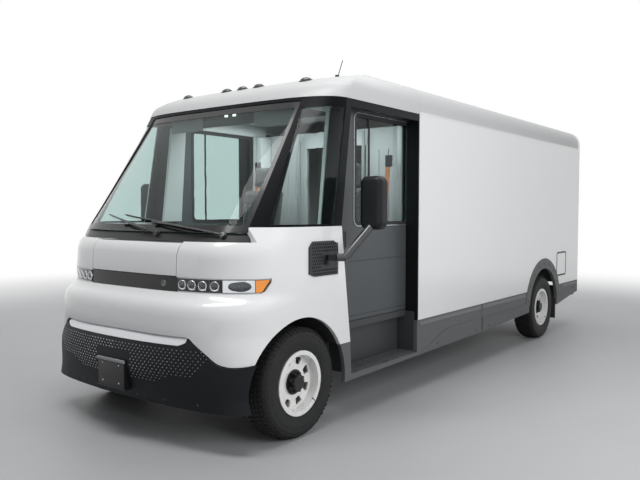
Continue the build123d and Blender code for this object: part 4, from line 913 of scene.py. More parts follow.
# ---------------------------------------------------------------- light bar and headlamps
# A gloss black bar right across the nose.  At each end four projector cells, a bright reflector with a
# dark oval lens and an amber turn lamp sit under one clear cover inside a silver rim.
bar_black = finish_of("light_bar_piano_black", (0.004, 0.0045, 0.006), 0.18, (80, 0.01), (4, 0.15), 0.04,
                      specular_ior_level=0.25, coat_weight=0.25)
lamp_chrome = finish_of("reflector_chrome", (0.78, 0.79, 0.80), 0.14, (60, 0.02), (12, 0.04), 0.05,
                        metallic=1.0)
lens_dark = finish_of("projector_lens_dark", (0.02, 0.024, 0.03), 0.06, (60, 0.01), (12, 0.1), 0.03,
                      coat_weight=1.0)
amber = finish_of("turn_lamp_amber", (0.80, 0.26, 0.02), 0.22, (120, 0.25), (24, 0.12), 0.06,
                  coat_weight=0.6)
lamp_rim = finish_of("lamp_surround_silver", (0.60, 0.61, 0.62), 0.3, (200, 0.03), (12, 0.06), 0.06)
lamp_clear = tinted_glass("lamp_cover_clear", (0.96, 0.97, 0.98))
refinished("light_bar", bar_black, crease=36)
bar_face = surface_tree("light_bar")
bar_low, bar_high = [Vector(corner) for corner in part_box("light_bar")]
BAR_MID = (bar_low.z + bar_high.z) / 2


def widest(low, high, lost, halvings):
    """The widest angle from straight ahead, between low and high, at which a place isn't lost yet."""
    for halving in range(halvings):
        middle = (low + high) / 2
        low, high = (low, middle) if lost(middle) else (middle, high)
    return low


def bar_reach(z):
    """Angle at which the slanted end of the bar comes at height z."""
    return widest(math.radians(50), math.radians(88),
                  lambda angle: around(bar_face, angle, z)[0] is None, 20) - 0.003


def bend_angle(x):
    """Angle from straight ahead, seen from the middle of the nose, of a place on the bar at x."""

    def past(angle):
        at = around(bar_face, angle, BAR_MID)[0]
        return at is None or at.x > abs(x)

    return math.copysign(widest(0.0, math.radians(88), past, 30), x)


def wrapped(shape, start, end, low, high, lift, thick, steps=24, rise=0.0, index=0):
    """A strip wrapped on the light bar between two angles, cut to the bar's end; rise bows it outwards."""
    rows = []
    held = [min(max(z, bar_low.z + 0.003), bar_high.z - 0.003) for z in (low, high, high, low)]
    ends = [math.copysign(min(abs(end), bar_reach(z)), end) for z in held]
    for k in range(steps + 1):
        s = k / steps
        line = []
        corners = ((low, lift), (high, lift), (high, lift - thick), (low, lift - thick))
        for (z, out), seat, last in zip(corners, held, ends):
            at, facing = around(bar_face, start + (last - start) * s, seat)
            at = Vector((at.x, at.y, z)) + facing * (out + rise * math.sin(math.pi * s) * (out > 0))
            line.append(shape.verts.new(at))
        rows.append(line)
    skin_over(shape, rows, index)


def ball_on(shape, at, facing, radius, squash, index, segments):
    """A squashed ball seated on a surface point."""
    ball = bmesh.ops.create_uvsphere(shape, u_segments=segments[0], v_segments=segments[1],
                                     radius=radius)["verts"]
    bmesh.ops.scale(shape, vec=squash, verts=ball)
    bmesh.ops.transform(shape, matrix=seated(at, facing), verts=ball)
    for face in {face for vert in ball for face in vert.link_faces}:
        face.material_index = index


LAMP_START, LAMP_CELLS_END, LAMP_REFLECTOR_END = bend_angle(0.475), bend_angle(0.79), bend_angle(0.955)
LAMP_END = math.radians(88)
CELL_PITCH = (LAMP_CELLS_END - LAMP_START) / 4
BEZEL, CHROME, LENS, GLOSS, AMBER = range(5)
projector_ring = [(0.002, 0.0255), (0.007, 0.027), (0.008, 0.030), (0.005, 0.033), (0.0, 0.034)]
for side, sign in SIDES:
    lamp = bmesh.new()
    low, high = bar_low.z + 0.010, bar_high.z - 0.010
    for k in range(4):
        a = LAMP_START + CELL_PITCH * (k + 0.07)
        b = LAMP_START + CELL_PITCH * (k + 0.93)
        for edge_low, edge_high in ((low, low + 0.007), (high - 0.007, high)):
            wrapped(lamp, sign * a, sign * b, edge_low, edge_high, 0.0035, 0.006, 6, index=BEZEL)
        for edge in (a, b - 0.008):
            wrapped(lamp, sign * edge, sign * (edge + 0.008), low, high, 0.0035, 0.006, 2, index=BEZEL)
        for strip_low, strip_high, rise, index in ((low + 0.010, low + 0.026, 0.002, CHROME),
                                                   (high - 0.018, high - 0.011, 0.001, GLOSS)):
            wrapped(lamp, sign * (a + 0.012), sign * (b - 0.012), strip_low, strip_high, 0.0015, 0.003, 4,
                    rise=rise, index=index)
        at, facing = around(bar_face, sign * (a + b) / 2, BAR_MID)
        ball_on(lamp, at, facing, 0.026, (1, 1, 0.3), LENS, (20, 10))
        turned_ring(lamp, projector_ring, (0, 0, 0), "Z", 24, CHROME, seated(at, facing))
    wrapped(lamp, sign * (LAMP_CELLS_END + 0.01), sign * LAMP_REFLECTOR_END, low, high, 0.0015, 0.004, 16,
            index=CHROME)
    at, facing = around(bar_face, sign * (LAMP_CELLS_END * 0.45 + LAMP_REFLECTOR_END * 0.55), BAR_MID)
    ball_on(lamp, at, facing, 0.034, (2.2, 1, 0.13), LENS, (28, 12))
    wrapped(lamp, sign * (LAMP_REFLECTOR_END + 0.004), sign * LAMP_END, low, high, 0.002, 0.004, 10,
            index=AMBER)
    closed_piece("headlamp_" + side, lamp, [hub_black, lamp_chrome, lens_dark, bar_black, amber],
                 "van_body")
    rim = bmesh.new()
    for z in (bar_low.z + 0.001, bar_high.z - 0.006):
        wrapped(rim, sign * LAMP_START, sign * LAMP_END, z, z + 0.005, 0.0055, 0.006, 30)
    closed_piece("headlamp_surround_" + side, rim, [lamp_rim], "van_body")
    cover = bmesh.new()
    wrapped(cover, sign * (LAMP_START + 0.002), sign * LAMP_END, bar_low.z + 0.004, bar_high.z - 0.004,
            0.0075, 0.0015, 30)
    closed_piece("headlamp_cover_" + side, cover, [lamp_clear], "van_body")
sensor = bmesh.new()
at, facing = around(bar_face, bend_angle(0.345), BAR_MID)
sensor_dish = [(-0.004, 0.0), (0.002, 0.0), (0.003, 0.012), (0.006, 0.015), (0.006, 0.021), (0.0, 0.024)]
turned_ring(sensor, sensor_dish, (0, 0, 0), "Z", 28, 0, seated(at, facing))
closed_piece("front_radar_window", sensor, [lens_dark], "van_body")

# ---------------------------------------------------------------- door surrounds and sliding doors
# Black painted surrounds; each door is a dark grey honeycomb panel with a big window in a rubber
# glazing strip, a recessed pull near its front edge and a rubber nose seal.
surround_black = finish_of("door_surround_black", (0.008, 0.0085, 0.010), 0.42, (60, 0.012), (3, 0.2), 0.08,
                           specular_ior_level=0.12)
door_grey = finish_of("sliding_door_grey", (0.058, 0.066, 0.072), 0.42, (300, 0.08), (2.5, 0.08), 0.07)
glazing_rubber = finish_of("glazing_rubber", (0.02, 0.02, 0.021), 0.6, (300, 0.1), (9, 0.2))
bright_trim = finish_of("bright_window_trim", (0.55, 0.57, 0.58), 0.28, (60, 0.02), (12, 0.06),
                        metallic=0.8)
track_alloy = finish_of("track_anodised", (0.09, 0.095, 0.10), 0.38, (200, 0.05), (3, 0.1), 0.06,
                        (8, 0.3, 8), metallic=0.6)
for side, sign in SIDES:
    refinished("door_surround_" + side, surround_black, crease=30)
    body = side + "_sliding_door"
    refinished("sliding_door_" + side, door_grey, crease=30)
    pane_low, pane_high = [Vector(corner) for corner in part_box("sliding_door_glass_" + side)]
    leaf_low, leaf_high = [Vector(corner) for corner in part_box("sliding_door_" + side)]
    out_x = leaf_high.x if sign > 0 else leaf_low.x
    in_x = leaf_low.x if sign > 0 else leaf_high.x
    trims = bmesh.new()
    hole = (pane_low.y + 0.012, pane_high.y - 0.012, pane_low.z + 0.012, pane_high.z - 0.012)
    pull_y, pull_z = behind(0.627), 1.32

    def frame_round(grown, radius, cut, cut_radius, x, thick, index):
        """A flat frame round the window: its outer edge grown by one margin, its inner by another."""
        loops = [rounded_loop(hole[0] - by, hole[1] + by, hole[2] - by, hole[3] + by, corner)
                 for by, corner in ((grown, radius), (cut, cut_radius))]
        flat_ring(trims, *loops, x, thick, index)

    def on_skin(proud, along, up, index=0, ease=0.0):
        """A bar on the outer skin of the door that stands proud of it."""
        x0, x1 = sorted((out_x, out_x + sign * proud))
        bar_stock(trims, (x0, along[0], up[0]), (x1, along[1], up[1]), index, ease)

    frame_round(0.020, 0.060, -0.010, 0.032, out_x, sign * 0.004, 0)
    frame_round(0.020, 0.060, -0.010, 0.032, in_x, -sign * 0.004, 0)
    frame_round(0.024, 0.064, 0.018, 0.058, out_x, sign * 0.0045, 1)
    mullion_x = (out_x, out_x - 0.0065) if sign > 0 else (out_x - 0.0035, out_x)
    bar_stock(trims, (mullion_x[0], hole[0] + 0.18, hole[2]), (mullion_x[1], hole[0] + 0.20, hole[3]), 0)
    bar_stock(trims, (leaf_low.x + 0.004, leaf_low.y - 0.002, leaf_low.z + 0.01),
              (leaf_high.x - 0.004, leaf_low.y + 0.004, leaf_high.z - 0.01), 0, 0.0015)
    pull_rim = rounded_loop(pull_y - 0.026, pull_y + 0.026, pull_z - 0.065, pull_z + 0.065, 0.022)
    pull_cup = rounded_loop(pull_y - 0.018, pull_y + 0.018, pull_z - 0.056, pull_z + 0.056, 0.015)
    flat_ring(trims, pull_rim, pull_cup, out_x, sign * 0.003, 0)
    bar_stock(trims, (out_x - 0.001, pull_y - 0.018, pull_z - 0.056),
              (out_x + 0.001, pull_y + 0.018, pull_z + 0.056), 2)
    on_skin(0.004, (pull_y - 0.018, pull_y + 0.006), (pull_z - 0.012, pull_z + 0.03), 0, 0.0015)
    for z in (leaf_low.z + 0.03, 1.15):
        on_skin(0.0015, (leaf_low.y + 0.03, leaf_high.y - 0.12), (z, z + 0.004))
    closed_piece(body + "_trim", trims, [glazing_rubber, bright_trim, hub_black], body, 30)
refinished("door_tracks", track_alloy, crease=30)

# ---------------------------------------------------------------- mirrors
# Black moulded feet with a raised diamond mesh, folding arms in satin sleeves, and tall heads with a flat
# glass over a small convex one on their rear faces.
mirror_black = finish_of("mirror_satin_black", (0.009, 0.0102, 0.0125), 0.36, (260, 0.08), (5, 0.15), 0.08,
                         specular_ior_level=0.25)
arm_satin = finish_of("mirror_arm_satin", (0.035, 0.037, 0.040), 0.3, (260, 0.06), (5, 0.12), 0.06,
                      coat_weight=0.5)
foot_black = finish_of("mirror_foot_black", (0.032, 0.034, 0.037), 0.5, (400, 0.2), (8, 0.15), 0.06)
mirror_silver = finish_of("mirror_silver", (0.82, 0.84, 0.85), 0.04, (10, 0.0), (4, 0.02), 0.02,
                          metallic=1.0)
refinished("mirror_bases", foot_black, crease=30)
FOOT_X, MESH_PITCH = 1.069, 0.0225
mesh_points = []
for sign in (1, -1):
    for row in range(10):
        for column in range(13):
            y = behind(0.078 + MESH_PITCH * (column + 0.5 * (row % 2)))
            z = 1.107 + MESH_PITCH * row
            if y > behind(0.19) and 1.15 < z < 1.26:
                continue
            mesh_points.append((Vector((sign * FOOT_X, y, z)), Vector((sign, 0, 0)), BACK))
repeated("mirror_foot_mesh", stud_tree, mesh_points, mirror_black, "van_body",
         0.0095, 0.0095, 0.005, 0.35, 4)
for side, sign in SIDES:
    body = side + "_mirror"
    refinished("mirror_" + side, mirror_black, crease=34)
    rear_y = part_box("mirror_" + side)[1][1]
    x_in, x_out = sorted((sign * 1.170, sign * 1.325))
    glass = bmesh.new()
    main_loop = rounded_loop(x_in, x_out, 1.535, 1.76, 0.03)
    wide_angle_loop = rounded_loop(x_in, x_out, 1.43, 1.515, 0.025)
    for loop, bow in ((main_loop, 0.0), (wide_angle_loop, 0.006)):
        mid_x = sum(x for x, z in loop) / len(loop)
        mid_z = sum(z for x, z in loop) / len(loop)
        rim = [glass.verts.new((x, rear_y + 0.001, z)) for x, z in loop]
        lip = [glass.verts.new((x + (mid_x - x) * 0.06, rear_y + 0.004, z + (mid_z - z) * 0.05))
               for x, z in loop]
        centre = glass.verts.new((mid_x, rear_y + 0.004 + bow, mid_z))
        back = [glass.verts.new((x, rear_y - 0.002, z)) for x, z in loop]
        for k in range(len(loop)):
            n = (k + 1) % len(loop)
            glass.faces.new((rim[k], rim[n], lip[n], lip[k])).material_index = 1
            glass.faces.new((lip[k], lip[n], centre)).material_index = 0
            glass.faces.new((back[n], back[k], rim[k], rim[n])).material_index = 1
        glass.faces.new(list(reversed(back))).material_index = 1
    closed_piece(body + "_glass", glass, [mirror_silver, mirror_black], body, 40)
    sleeve = bmesh.new()
    bend = (sign * 1.165, behind(0.330), 1.215)
    rod(sleeve, [(sign * 1.1255, behind(0.268), 1.215), bend], 0.027, 16, 0)
    upright = [(sign * 1.160, behind(0.323), 1.205), bend, (sign * 1.2062, behind(0.435), 1.3275),
               (sign * 1.2440, behind(0.531), 1.428)]
    rod(sleeve, upright, 0.031, 16, 0)
    closed_piece(body + "_arm_sleeve", sleeve, [arm_satin], body, 40)

# ---------------------------------------------------------------- roof lamps and aerial
# Five smoked marker lamps in low black shells bonded on the roof over the windscreen, and a whip aerial
# on a rubber foot.
smoked_lens = finish_of("marker_smoked_lens", (0.035, 0.030, 0.028), 0.12, (90, 0.04), (20, 0.2), 0.04,
                        coat_weight=0.8)
refinished("aerial", mirror_black, crease=40)
lamp_low, lamp_high = [Vector(corner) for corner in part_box("roof_marker_lamps")]
roof_face = surface_tree("cab_roof", "cargo_roof")


def on_roof(x, y):
    """The point of the roof below (x, y) and its normal."""
    return struck(roof_face, Vector((x, y, 4)), DOWN)


shells = bmesh.new()
lamp_y = (lamp_low.y + lamp_high.y) / 2
for x in (-0.66, -0.18, 0.0, 0.18, 0.66):
    at, facing = on_roof(x, lamp_y)
    for index, size, rise in ((0, (0.056, 0.040, 0.012), 0.0), (1, (0.046, 0.031, 0.020), 0.006)):
        ball_on(shells, at + facing * rise, facing, 1, size, index, (24, 12))
markers = closed_piece("marker_lamp_shells", shells, [mirror_black, smoked_lens], "van_body")
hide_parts("roof_marker_lamps")

# ---------------------------------------------------------------- cab floor and steps
# Checkered aluminium tread plates in both step wells, a ribbed rubber mat on the cab floor, and black
# wheel-housing liners.  The upper step edge has a bright nosing, the lower one a rubber one.
mat_rubber = finish_of("floor_mat_rubber", (0.045, 0.047, 0.05), 0.7, (300, 0.2), (6, 0.15), 0.06)
liner_black = finish_of("liner_textured_black", (0.02, 0.02, 0.021), 0.75, (260, 0.3), (8, 0.2), 0.06)
tread_metal = finish_of("tread_plate_metal", (0.30, 0.31, 0.32), 0.36, (120, 0.06), (14, 0.15), 0.1,
                        metallic=0.9)
# The step-well faces under the edge of the cab floor are painted near black: painted shade for the dark recess
# there.
step_well_shade = finish_of("step_well_painted_shade", (0.038, 0.041, 0.045), 0.5, (350, 0.15), (4, 0.08), 0.06)
cab_floor = refinished("cab_floor", mat_rubber, step_well_shade, crease=25)
paint_faces(cab_floor, 1, lambda at, facing: abs(at.x) > 0.848 and at.y > behind(0.55) and at.z < 0.688)
STEP_TOP, FLOOR_TOP = 0.345, 0.690
refinished("front_wheelhouses", liner_black, crease=30)
treads = bmesh.new()
nubs = []
for sign in (1, -1):
    for across, along, up, index, ease in (
            ((0.868, 1.022), (0.59, 1.50), (STEP_TOP, STEP_TOP + 0.004), 0, 0.001),
            ((1.014, 1.024), (0.59, 1.50), (STEP_TOP - 0.002, STEP_TOP + 0.010), 2, 0.003),
            ((0.80, 0.862), (0.60, 1.50), (FLOOR_TOP, FLOOR_TOP + 0.003), 0, 0.001),
            ((0.852, 0.864), (0.575, 1.52), (FLOOR_TOP - 0.018, FLOOR_TOP + 0.005), 1, 0.003)):
        set_bar(treads, across, along, up, index, ease, sign)
    for k in range(5):
        x = 0.882 + 0.028 * k
        set_bar(treads, (x - 0.006, x + 0.006), (0.60, 1.49), (STEP_TOP + 0.004, STEP_TOP + 0.009),
                2, 0.002, sign)
    for row in range(40):
        for column in range(2):
            x, y = sign * (0.815 + 0.026 * column), behind(0.615 + 0.0222 * row)
            slant = Vector((1, 1 if (row + column) % 2 else -1, 0))
            nubs.append((Vector((x, y, FLOOR_TOP + 0.004)), UP, slant))
closed_piece("step_treads", treads, [tread_metal, bright_trim, mat_rubber], "van_body")
repeated("tread_nubs", block_tree, nubs, tread_metal, "van_body", 0.016, 0.005, 0.0022)
mat_ribs = [(Vector((x / 1000, behind(0.95), FLOOR_TOP + 0.0015)), UP, RIGHT) for x in range(-240, 241, 24)]
repeated("cab_mat_ribs", block_tree, mat_ribs, mat_rubber, "van_body", 0.010, 1.45, 0.003)

# ---------------------------------------------------------------- dashboard
# A soft-grained charcoal moulding with a hooded instrument pod, a centre screen, air vents, a switch
# row and a glove box lid.  A light grey demister grille lies along the foot of the windscreen.
dash_grain = finish_of("dash_grained_charcoal", (0.06, 0.064, 0.068), 0.62, (480, 0.3), (5, 0.06), 0.05)
dash_grey = finish_of("dash_light_grey", (0.30, 0.31, 0.31), 0.58, (480, 0.2), (5, 0.05), 0.05)
screen_glass = finish_of("screen_dark_glass", (0.01, 0.012, 0.014), 0.1, (60, 0.01), (5, 0.1), 0.03,
                         coat_weight=1.0)
refinished("dashboard", dash_grain, crease=30)
dash = bmesh.new()
for x in (-0.70, -0.22, 0.18, 0.76):
    set_bar(dash, (x - 0.075, x + 0.075), (0.105, 0.125), (1.19, 1.262), 0, 0.006)
    for k in range(5):
        z = 1.197 + 0.0125 * k
        set_bar(dash, (x - 0.066, x + 0.066), (0.122, 0.132), (z, z + 0.004), 3, 0.001)
for across, along, up, index, ease in (
        ((-0.13, 0.13), (0.09, 0.115), (1.275, 1.435), 0, 0.008),
        ((-0.118, 0.118), (0.114, 0.1165), (1.288, 1.424), 2, 0.001),
        ((0.36, 0.60), (0.088, 0.098), (1.30, 1.388), 2, 0.003),
        ((-0.60, -0.26), (0.110, 0.122), (1.05, 1.165), 0, 0.008),
        ((-0.47, -0.39), (0.121, 0.128), (1.135, 1.147), 3, 0.002)):
    set_bar(dash, across, along, up, index, ease)
for k in range(6):
    x = -0.12 + 0.042 * k
    set_bar(dash, (x, x + 0.034), (0.118, 0.127), (1.10, 1.125), 3, 0.003)
demister = (((-0.7, 1.288), (0.7, 1.288)), ((-0.7, 1.302), (0.7, 1.302)))
front_band(dash, surface_tree("dashboard"), demister, 0.002, 0.001, 20, 1)
closed_piece("dashboard_fittings", dash, [dash_grain, dash_grey, screen_glass, hub_black],
             "van_body")
slats = [(Vector((-0.72 + 0.024 * k, behind(-0.2), 1.309)), UP, RIGHT) for k in range(61)]
repeated("demister_slats", block_tree, slats, hub_black, "van_body", 0.012, 0.05, 0.004)

# ---------------------------------------------------------------- steering wheel
# A foam-moulded rim with a stitched leather cover, a padded horn boss and three spokes.
leather_black = finish_of("wheel_leather_black", (0.022, 0.022, 0.023), 0.5, (260, 0.25), (12, 0.15), 0.06)
refinished("steering_wheel", leather_black, crease=35)
wheel_low, wheel_high = [Vector(corner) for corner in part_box("steering_wheel")]
wheel_middle = (wheel_low + wheel_high) / 2
wheel_axis = Vector((0, math.sin(math.radians(55)), math.cos(math.radians(55))))
face_turn = wheel_axis.to_track_quat("Z", "Y").to_matrix().to_4x4()
boss = bmesh.new()
boss_profile = [(0.0, 0.0), (0.0, 0.052), (0.012, 0.058), (0.024, 0.054), (0.030, 0.040), (0.032, 0.0)]
boss_seat = seated(wheel_middle + wheel_axis * 0.006, wheel_axis) @ Matrix.Diagonal((1.25, 1, 1, 1))
turned_ring(boss, boss_profile, (0, 0, 0), "Z", 32, 0, boss_seat)
closed_piece("horn_boss", boss, [dash_grain], "steering_wheel")
stitches = []
for k in range(96):
    angle = 2 * math.pi * k / 96
    out = face_turn @ Vector((math.cos(angle), math.sin(angle), 0))
    along = face_turn @ Vector((-math.sin(angle), math.cos(angle), 0))
    stitches.append((wheel_middle + out * 0.1895, -out, along))
repeated("rim_stitches", block_tree, stitches, dash_grey, "steering_wheel", 0.007, 0.0016, 0.0016)

# ---------------------------------------------------------------- seats
# Foam cushions in a woven charcoal cover over steel pedestals, with piped edges, two sewn channels and
# a copper-coloured belt for each.  One seat is blown up as cloth round its foam and the other copies it.
seat_weave = bpy.data.materials.new("seat_weave")
seat_weave.use_nodes = True
weave = seat_weave.node_tree
weave_shader = weave.nodes["Principled BSDF"].inputs
weave_place = wired(weave, "ShaderNodeTexCoord").outputs["Object"]
threads = []
for way in (0, math.radians(90)):
    lines = wired(weave, "ShaderNodeMapping",
                  {"Vector": weave_place, "Rotation": (way, way, math.radians(45))})
    wave = wired(weave, "ShaderNodeTexWave",
                 {"Vector": lines.outputs["Vector"], "Scale": 95, "Distortion": 0.6})
    threads.append(wave.outputs["Fac"])
woven = wired(weave, "ShaderNodeMath", {0: threads[0], 1: threads[1]}, operation="MULTIPLY").outputs[0]
thread_colour = wired(weave, "ShaderNodeMix",
                      {0: woven, 6: (0.035, 0.037, 0.04, 1), 7: (0.095, 0.10, 0.105, 1)},
                      data_type="RGBA")
weave.links.new(thread_colour.outputs[2], weave_shader["Base Color"])
weave_shader["Roughness"].default_value = 0.85
weave_shader["Sheen Weight"].default_value = 0.35
thread_relief = wired(weave, "ShaderNodeBump", {"Height": woven, "Strength": 0.35, "Distance": 0.001})
weave.links.new(thread_relief.outputs["Normal"], weave_shader["Normal"])
piping_grey = finish_of("seat_piping", (0.13, 0.135, 0.14), 0.6, (500, 0.2), (20, 0.1))
belt_copper = finish_of("belt_copper_webbing", (0.52, 0.17, 0.055), 0.6, (700, 0.3), (30, 0.1), 0.05)
pedestal = finish_of("seat_pedestal_grey", (0.09, 0.095, 0.10), 0.5, (300, 0.1), (6, 0.1))
refinished("seat_bases", pedestal, crease=30)


def foam_block(shape, low, high, round_by, lean=0.0, pivot=(0, 0, 0)):
    """A rounded foam block, a little smaller than its cover, leaning back about a pivot."""
    made = bar_stock(shape, low, high, 0, round_by)
    turn_back = Matrix.Translation(pivot) @ Matrix.Rotation(lean, 4, "X") @ Matrix.Translation(-Vector(pivot))
    bmesh.ops.transform(shape, matrix=turn_back, verts=made)


def evaluated(piece):
    """The piece with its modifiers worked out at this frame."""
    return piece.evaluated_get(bpy.context.evaluated_depsgraph_get())


def blown_up(name, low, high, round_by, lean, pivot, cap):
    """A cushion cover blown up as cloth round its foam, with no point moved farther than cap."""
    shape = bmesh.new()
    foam_block(shape, low, high, round_by, lean, pivot)
    bmesh.ops.recalc_face_normals(shape, faces=shape.faces)
    mesh = bpy.data.meshes.new(name)
    shape.to_mesh(mesh)
    shape.free()
    cover = mesh_piece(name, mesh)
    voxels = cover.modifiers.new("voxels", "REMESH")
    voxels.mode = "VOXEL"
    voxels.voxel_size = 0.0085
    mesh = bpy.data.meshes.new_from_object(evaluated(cover))
    bpy.data.objects.remove(cover)
    cover = mesh_piece(name, mesh)
    start = [vert.co.copy() for vert in mesh.vertices]
    cloth = cover.modifiers.new("cover_cloth", "CLOTH")
    cloth.settings.use_pressure = True
    cloth.settings.uniform_pressure_force = 4
    cloth.settings.effector_weights.gravity = 0
    cloth.settings.quality = 4
    cloth.point_cache.frame_start, cloth.point_cache.frame_end = 1, 16
    for step in range(1, 17):
        scene.frame_set(step)
    blown = bpy.data.meshes.new_from_object(evaluated(cover))
    for vert, at, first in zip(mesh.vertices, blown.vertices, start):
        move = at.co - first
        vert.co = first + move * min(1.0, cap / max(move.length, 1e-6))
    cover.modifiers.clear()
    scene.frame_set(1)
    bpy.data.meshes.remove(blown)
    for face in mesh.polygons:
        face.use_smooth = True
    return cover


SEAT_X = 0.48
hinge = Vector((SEAT_X, behind(1.215), 1.137))
lean = math.radians(-8)
cover_sizes = (("seat_cushion_left", 0.235, (0.672, 1.178), (1.030, 1.128), 0.045, 0, 0.012),
               ("seat_back_left", 0.225, (1.155, 1.275), (1.150, 1.745), 0.05, lean, 0.012),
               ("head_restraint_left", 0.122, (1.172, 1.258), (1.765, 1.955), 0.036, lean, 0.008))
covers = [blown_up(name, (SEAT_X - half, behind(along[0]), up[0]), (SEAT_X + half, behind(along[1]), up[1]),
                   round_by, leaning, hinge, cap)
          for name, half, along, up, round_by, leaning, cap in cover_sizes]


def sewn_channels(cover, axis, places, depth, width, along_axis):
    """Pulls the cover in along sewn lines at some places on one axis."""
    middle = sum((vert.co for vert in cover.data.vertices), Vector()) / len(cover.data.vertices)
    for vert in cover.data.vertices:
        for place in places:
            near = math.exp(-((vert.co[axis] - place) / width) ** 2)
            out = vert.co[along_axis] - middle[along_axis]
            vert.co[along_axis] -= math.copysign(min(depth, abs(out)), out) * near


sewn_channels(covers[0], 0, (SEAT_X - 0.135, SEAT_X + 0.135), 0.014, 0.010, 2)
sewn_channels(covers[1], 0, (SEAT_X - 0.13, SEAT_X + 0.13), 0.014, 0.010, 1)
sewn_channels(covers[1], 2, (1.40, 1.60), 0.008, 0.008, 1)
for cover in covers:
    twin_mesh = cover.data.copy()
    for vert in twin_mesh.vertices:
        vert.co.x -= 2 * SEAT_X
    twin = mesh_piece(cover.name.replace("left", "right"), twin_mesh)
    for piece in (cover, twin):
        piece.data.materials.clear()
        piece.data.materials.append(seat_weave)
        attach(piece, "van_body")
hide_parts("seats")
PIPING_Z = 1.045
seat_trim = bmesh.new()
for x in (SEAT_X, -SEAT_X):
    for post in (-0.06, 0.06):
        rod(seat_trim, [(x + post, behind(1.302), 1.70), (x + post, behind(1.316), 1.80)], 0.007, 8)
    piping = []
    for k in range(73):
        c, s = math.cos(2 * math.pi * k / 72), math.sin(2 * math.pi * k / 72)
        piping.append((x + 0.232 * math.copysign(abs(c) ** 0.35, c),
                       behind(0.925) + 0.25 * math.copysign(abs(s) ** 0.35, s), PIPING_Z))
    rod(seat_trim, piping, 0.005, 6, 1)
    out = math.copysign(1, x)
    set_bar(seat_trim, (x + out * 0.20 - 0.06, x + out * 0.20 + 0.05), (0.74, 1.10), (0.90, 1.00), 2, 0.012)
closed_piece("seat_trim", seat_trim, [bright_trim, piping_grey, pedestal], "van_body")
belts = bmesh.new()
for sign in (1, -1):
    path = [(sign * 0.765, behind(1.515), 1.94), (sign * 0.76, behind(1.49), 1.70),
            (sign * 0.752, behind(1.44), 1.40), (sign * 0.745, behind(1.36), 1.10),
            (sign * 0.735, behind(1.26), 0.76)]
    for a, b in zip(path[:-1], path[1:]):
        a, b = Vector(a), Vector(b)
        side_way = (b - a).cross(Vector((0, -1, 0.3))).normalized() * 0.024
        thick = (b - a).cross(side_way).normalized() * 0.0012
        section = (side_way + thick, side_way - thick, -side_way - thick, -side_way + thick)
        skin_over(belts, [[belts.verts.new(end + out) for out in section] for end in (a, b)])
    for x, half, along, up, ease in ((0.768, 0.03, (1.505, 1.535), (1.92, 2.02), 0.006),
                                     (0.735, 0.02, (1.235, 1.285), (0.692, 0.78), 0.005),
                                     (0.24, 0.018, (1.10, 1.135), (1.03, 1.10), 0.005)):
        set_bar(belts, (x - half, x + half), along, up, 1, ease, sign)
closed_piece("seat_belts", belts, [belt_copper, hub_black], "van_body", 20)

# ---------------------------------------------------------------- cab lining
# Light grey trim on the pillars behind the doors, a header shelf over the windscreen with two small
# reading lamps and a display, folded sun visors, and tubular grab poles beside the aisle.
lining = finish_of("cab_lining_light_grey", (0.62, 0.64, 0.64), 0.62, (420, 0.12), (3, 0.05), 0.05)
lamp_white = finish_of("reading_lamp_white", (0.9, 0.9, 0.88), 0.3, (60, 0.02), (10, 0.02),
                       emission_color=(1, 1, 0.95, 1), emission_strength=1.5)
trim = bmesh.new()
for sign in (1, -1):
    set_bar(trim, (0.80, 0.862), (1.60, 1.755), (0.70, 2.28), 0, 0.01, sign)
    x0, x1 = sorted((sign * 0.858, sign * 0.886))
    pillar = ((0.40, 1.44), (0.60, 1.44), (0.66, 2.27), (0.50, 2.27))
    skin_over(trim, [[trim.verts.new((x, behind(y), z)) for y, z in pillar] for x in (x0, x1)])
    rod(trim, [(sign * 0.38, behind(1.70), 0.70), (sign * 0.38, behind(1.70), 2.28)], 0.016, 12, 3)
    set_bar(trim, (0.29, 0.67), (0.335, 0.35), (2.19, 2.30), 3, 0.005, sign)
set_bar(trim, (-0.76, 0.76), (0.38, 0.72), (2.275, 2.29), 2, 0.008)
set_bar(trim, (-0.76, 0.76), (0.375, 0.39), (2.275, 2.335), 2, 0.006)
set_bar(trim, (0.36, 0.52), (0.38, 0.40), (2.20, 2.27), 4, 0.004)
for x in (-0.045, 0.045):
    set_bar(trim, (x - 0.016, x + 0.016), (0.365, 0.377), (2.285, 2.305), 5, 0.004)
dome_light = bpy.data.lights.new("cab_dome_light", "AREA")
dome_light.shape = "RECTANGLE"
dome_light.size, dome_light.size_y = 1.4, 0.8
dome_light.energy = 22
dome = bpy.data.objects.new("cab_dome_light", dome_light)
scene.collection.objects.link(dome)
dome.location = (0, behind(1.15), 2.37)
dome.visible_camera = dome.visible_transmission = dome.visible_glossy = False
closed_piece("cab_lining", trim, [lining, bright_trim, dash_grain, dash_grey, screen_glass, lamp_white],
             "van_body", 25)
roof_lining = bmesh.new()
set_bar(roof_lining, (-0.86, 0.86), (0.72, 1.75), (2.40, 2.415), 0, 0.004)
for sign in (1, -1):
    set_bar(roof_lining, (0.87, 0.89), (0.70, 1.75), (2.285, 2.42), 0, 0.004, sign)
closed_piece("cab_roof_lining", roof_lining, [lining], "van_body", 25)

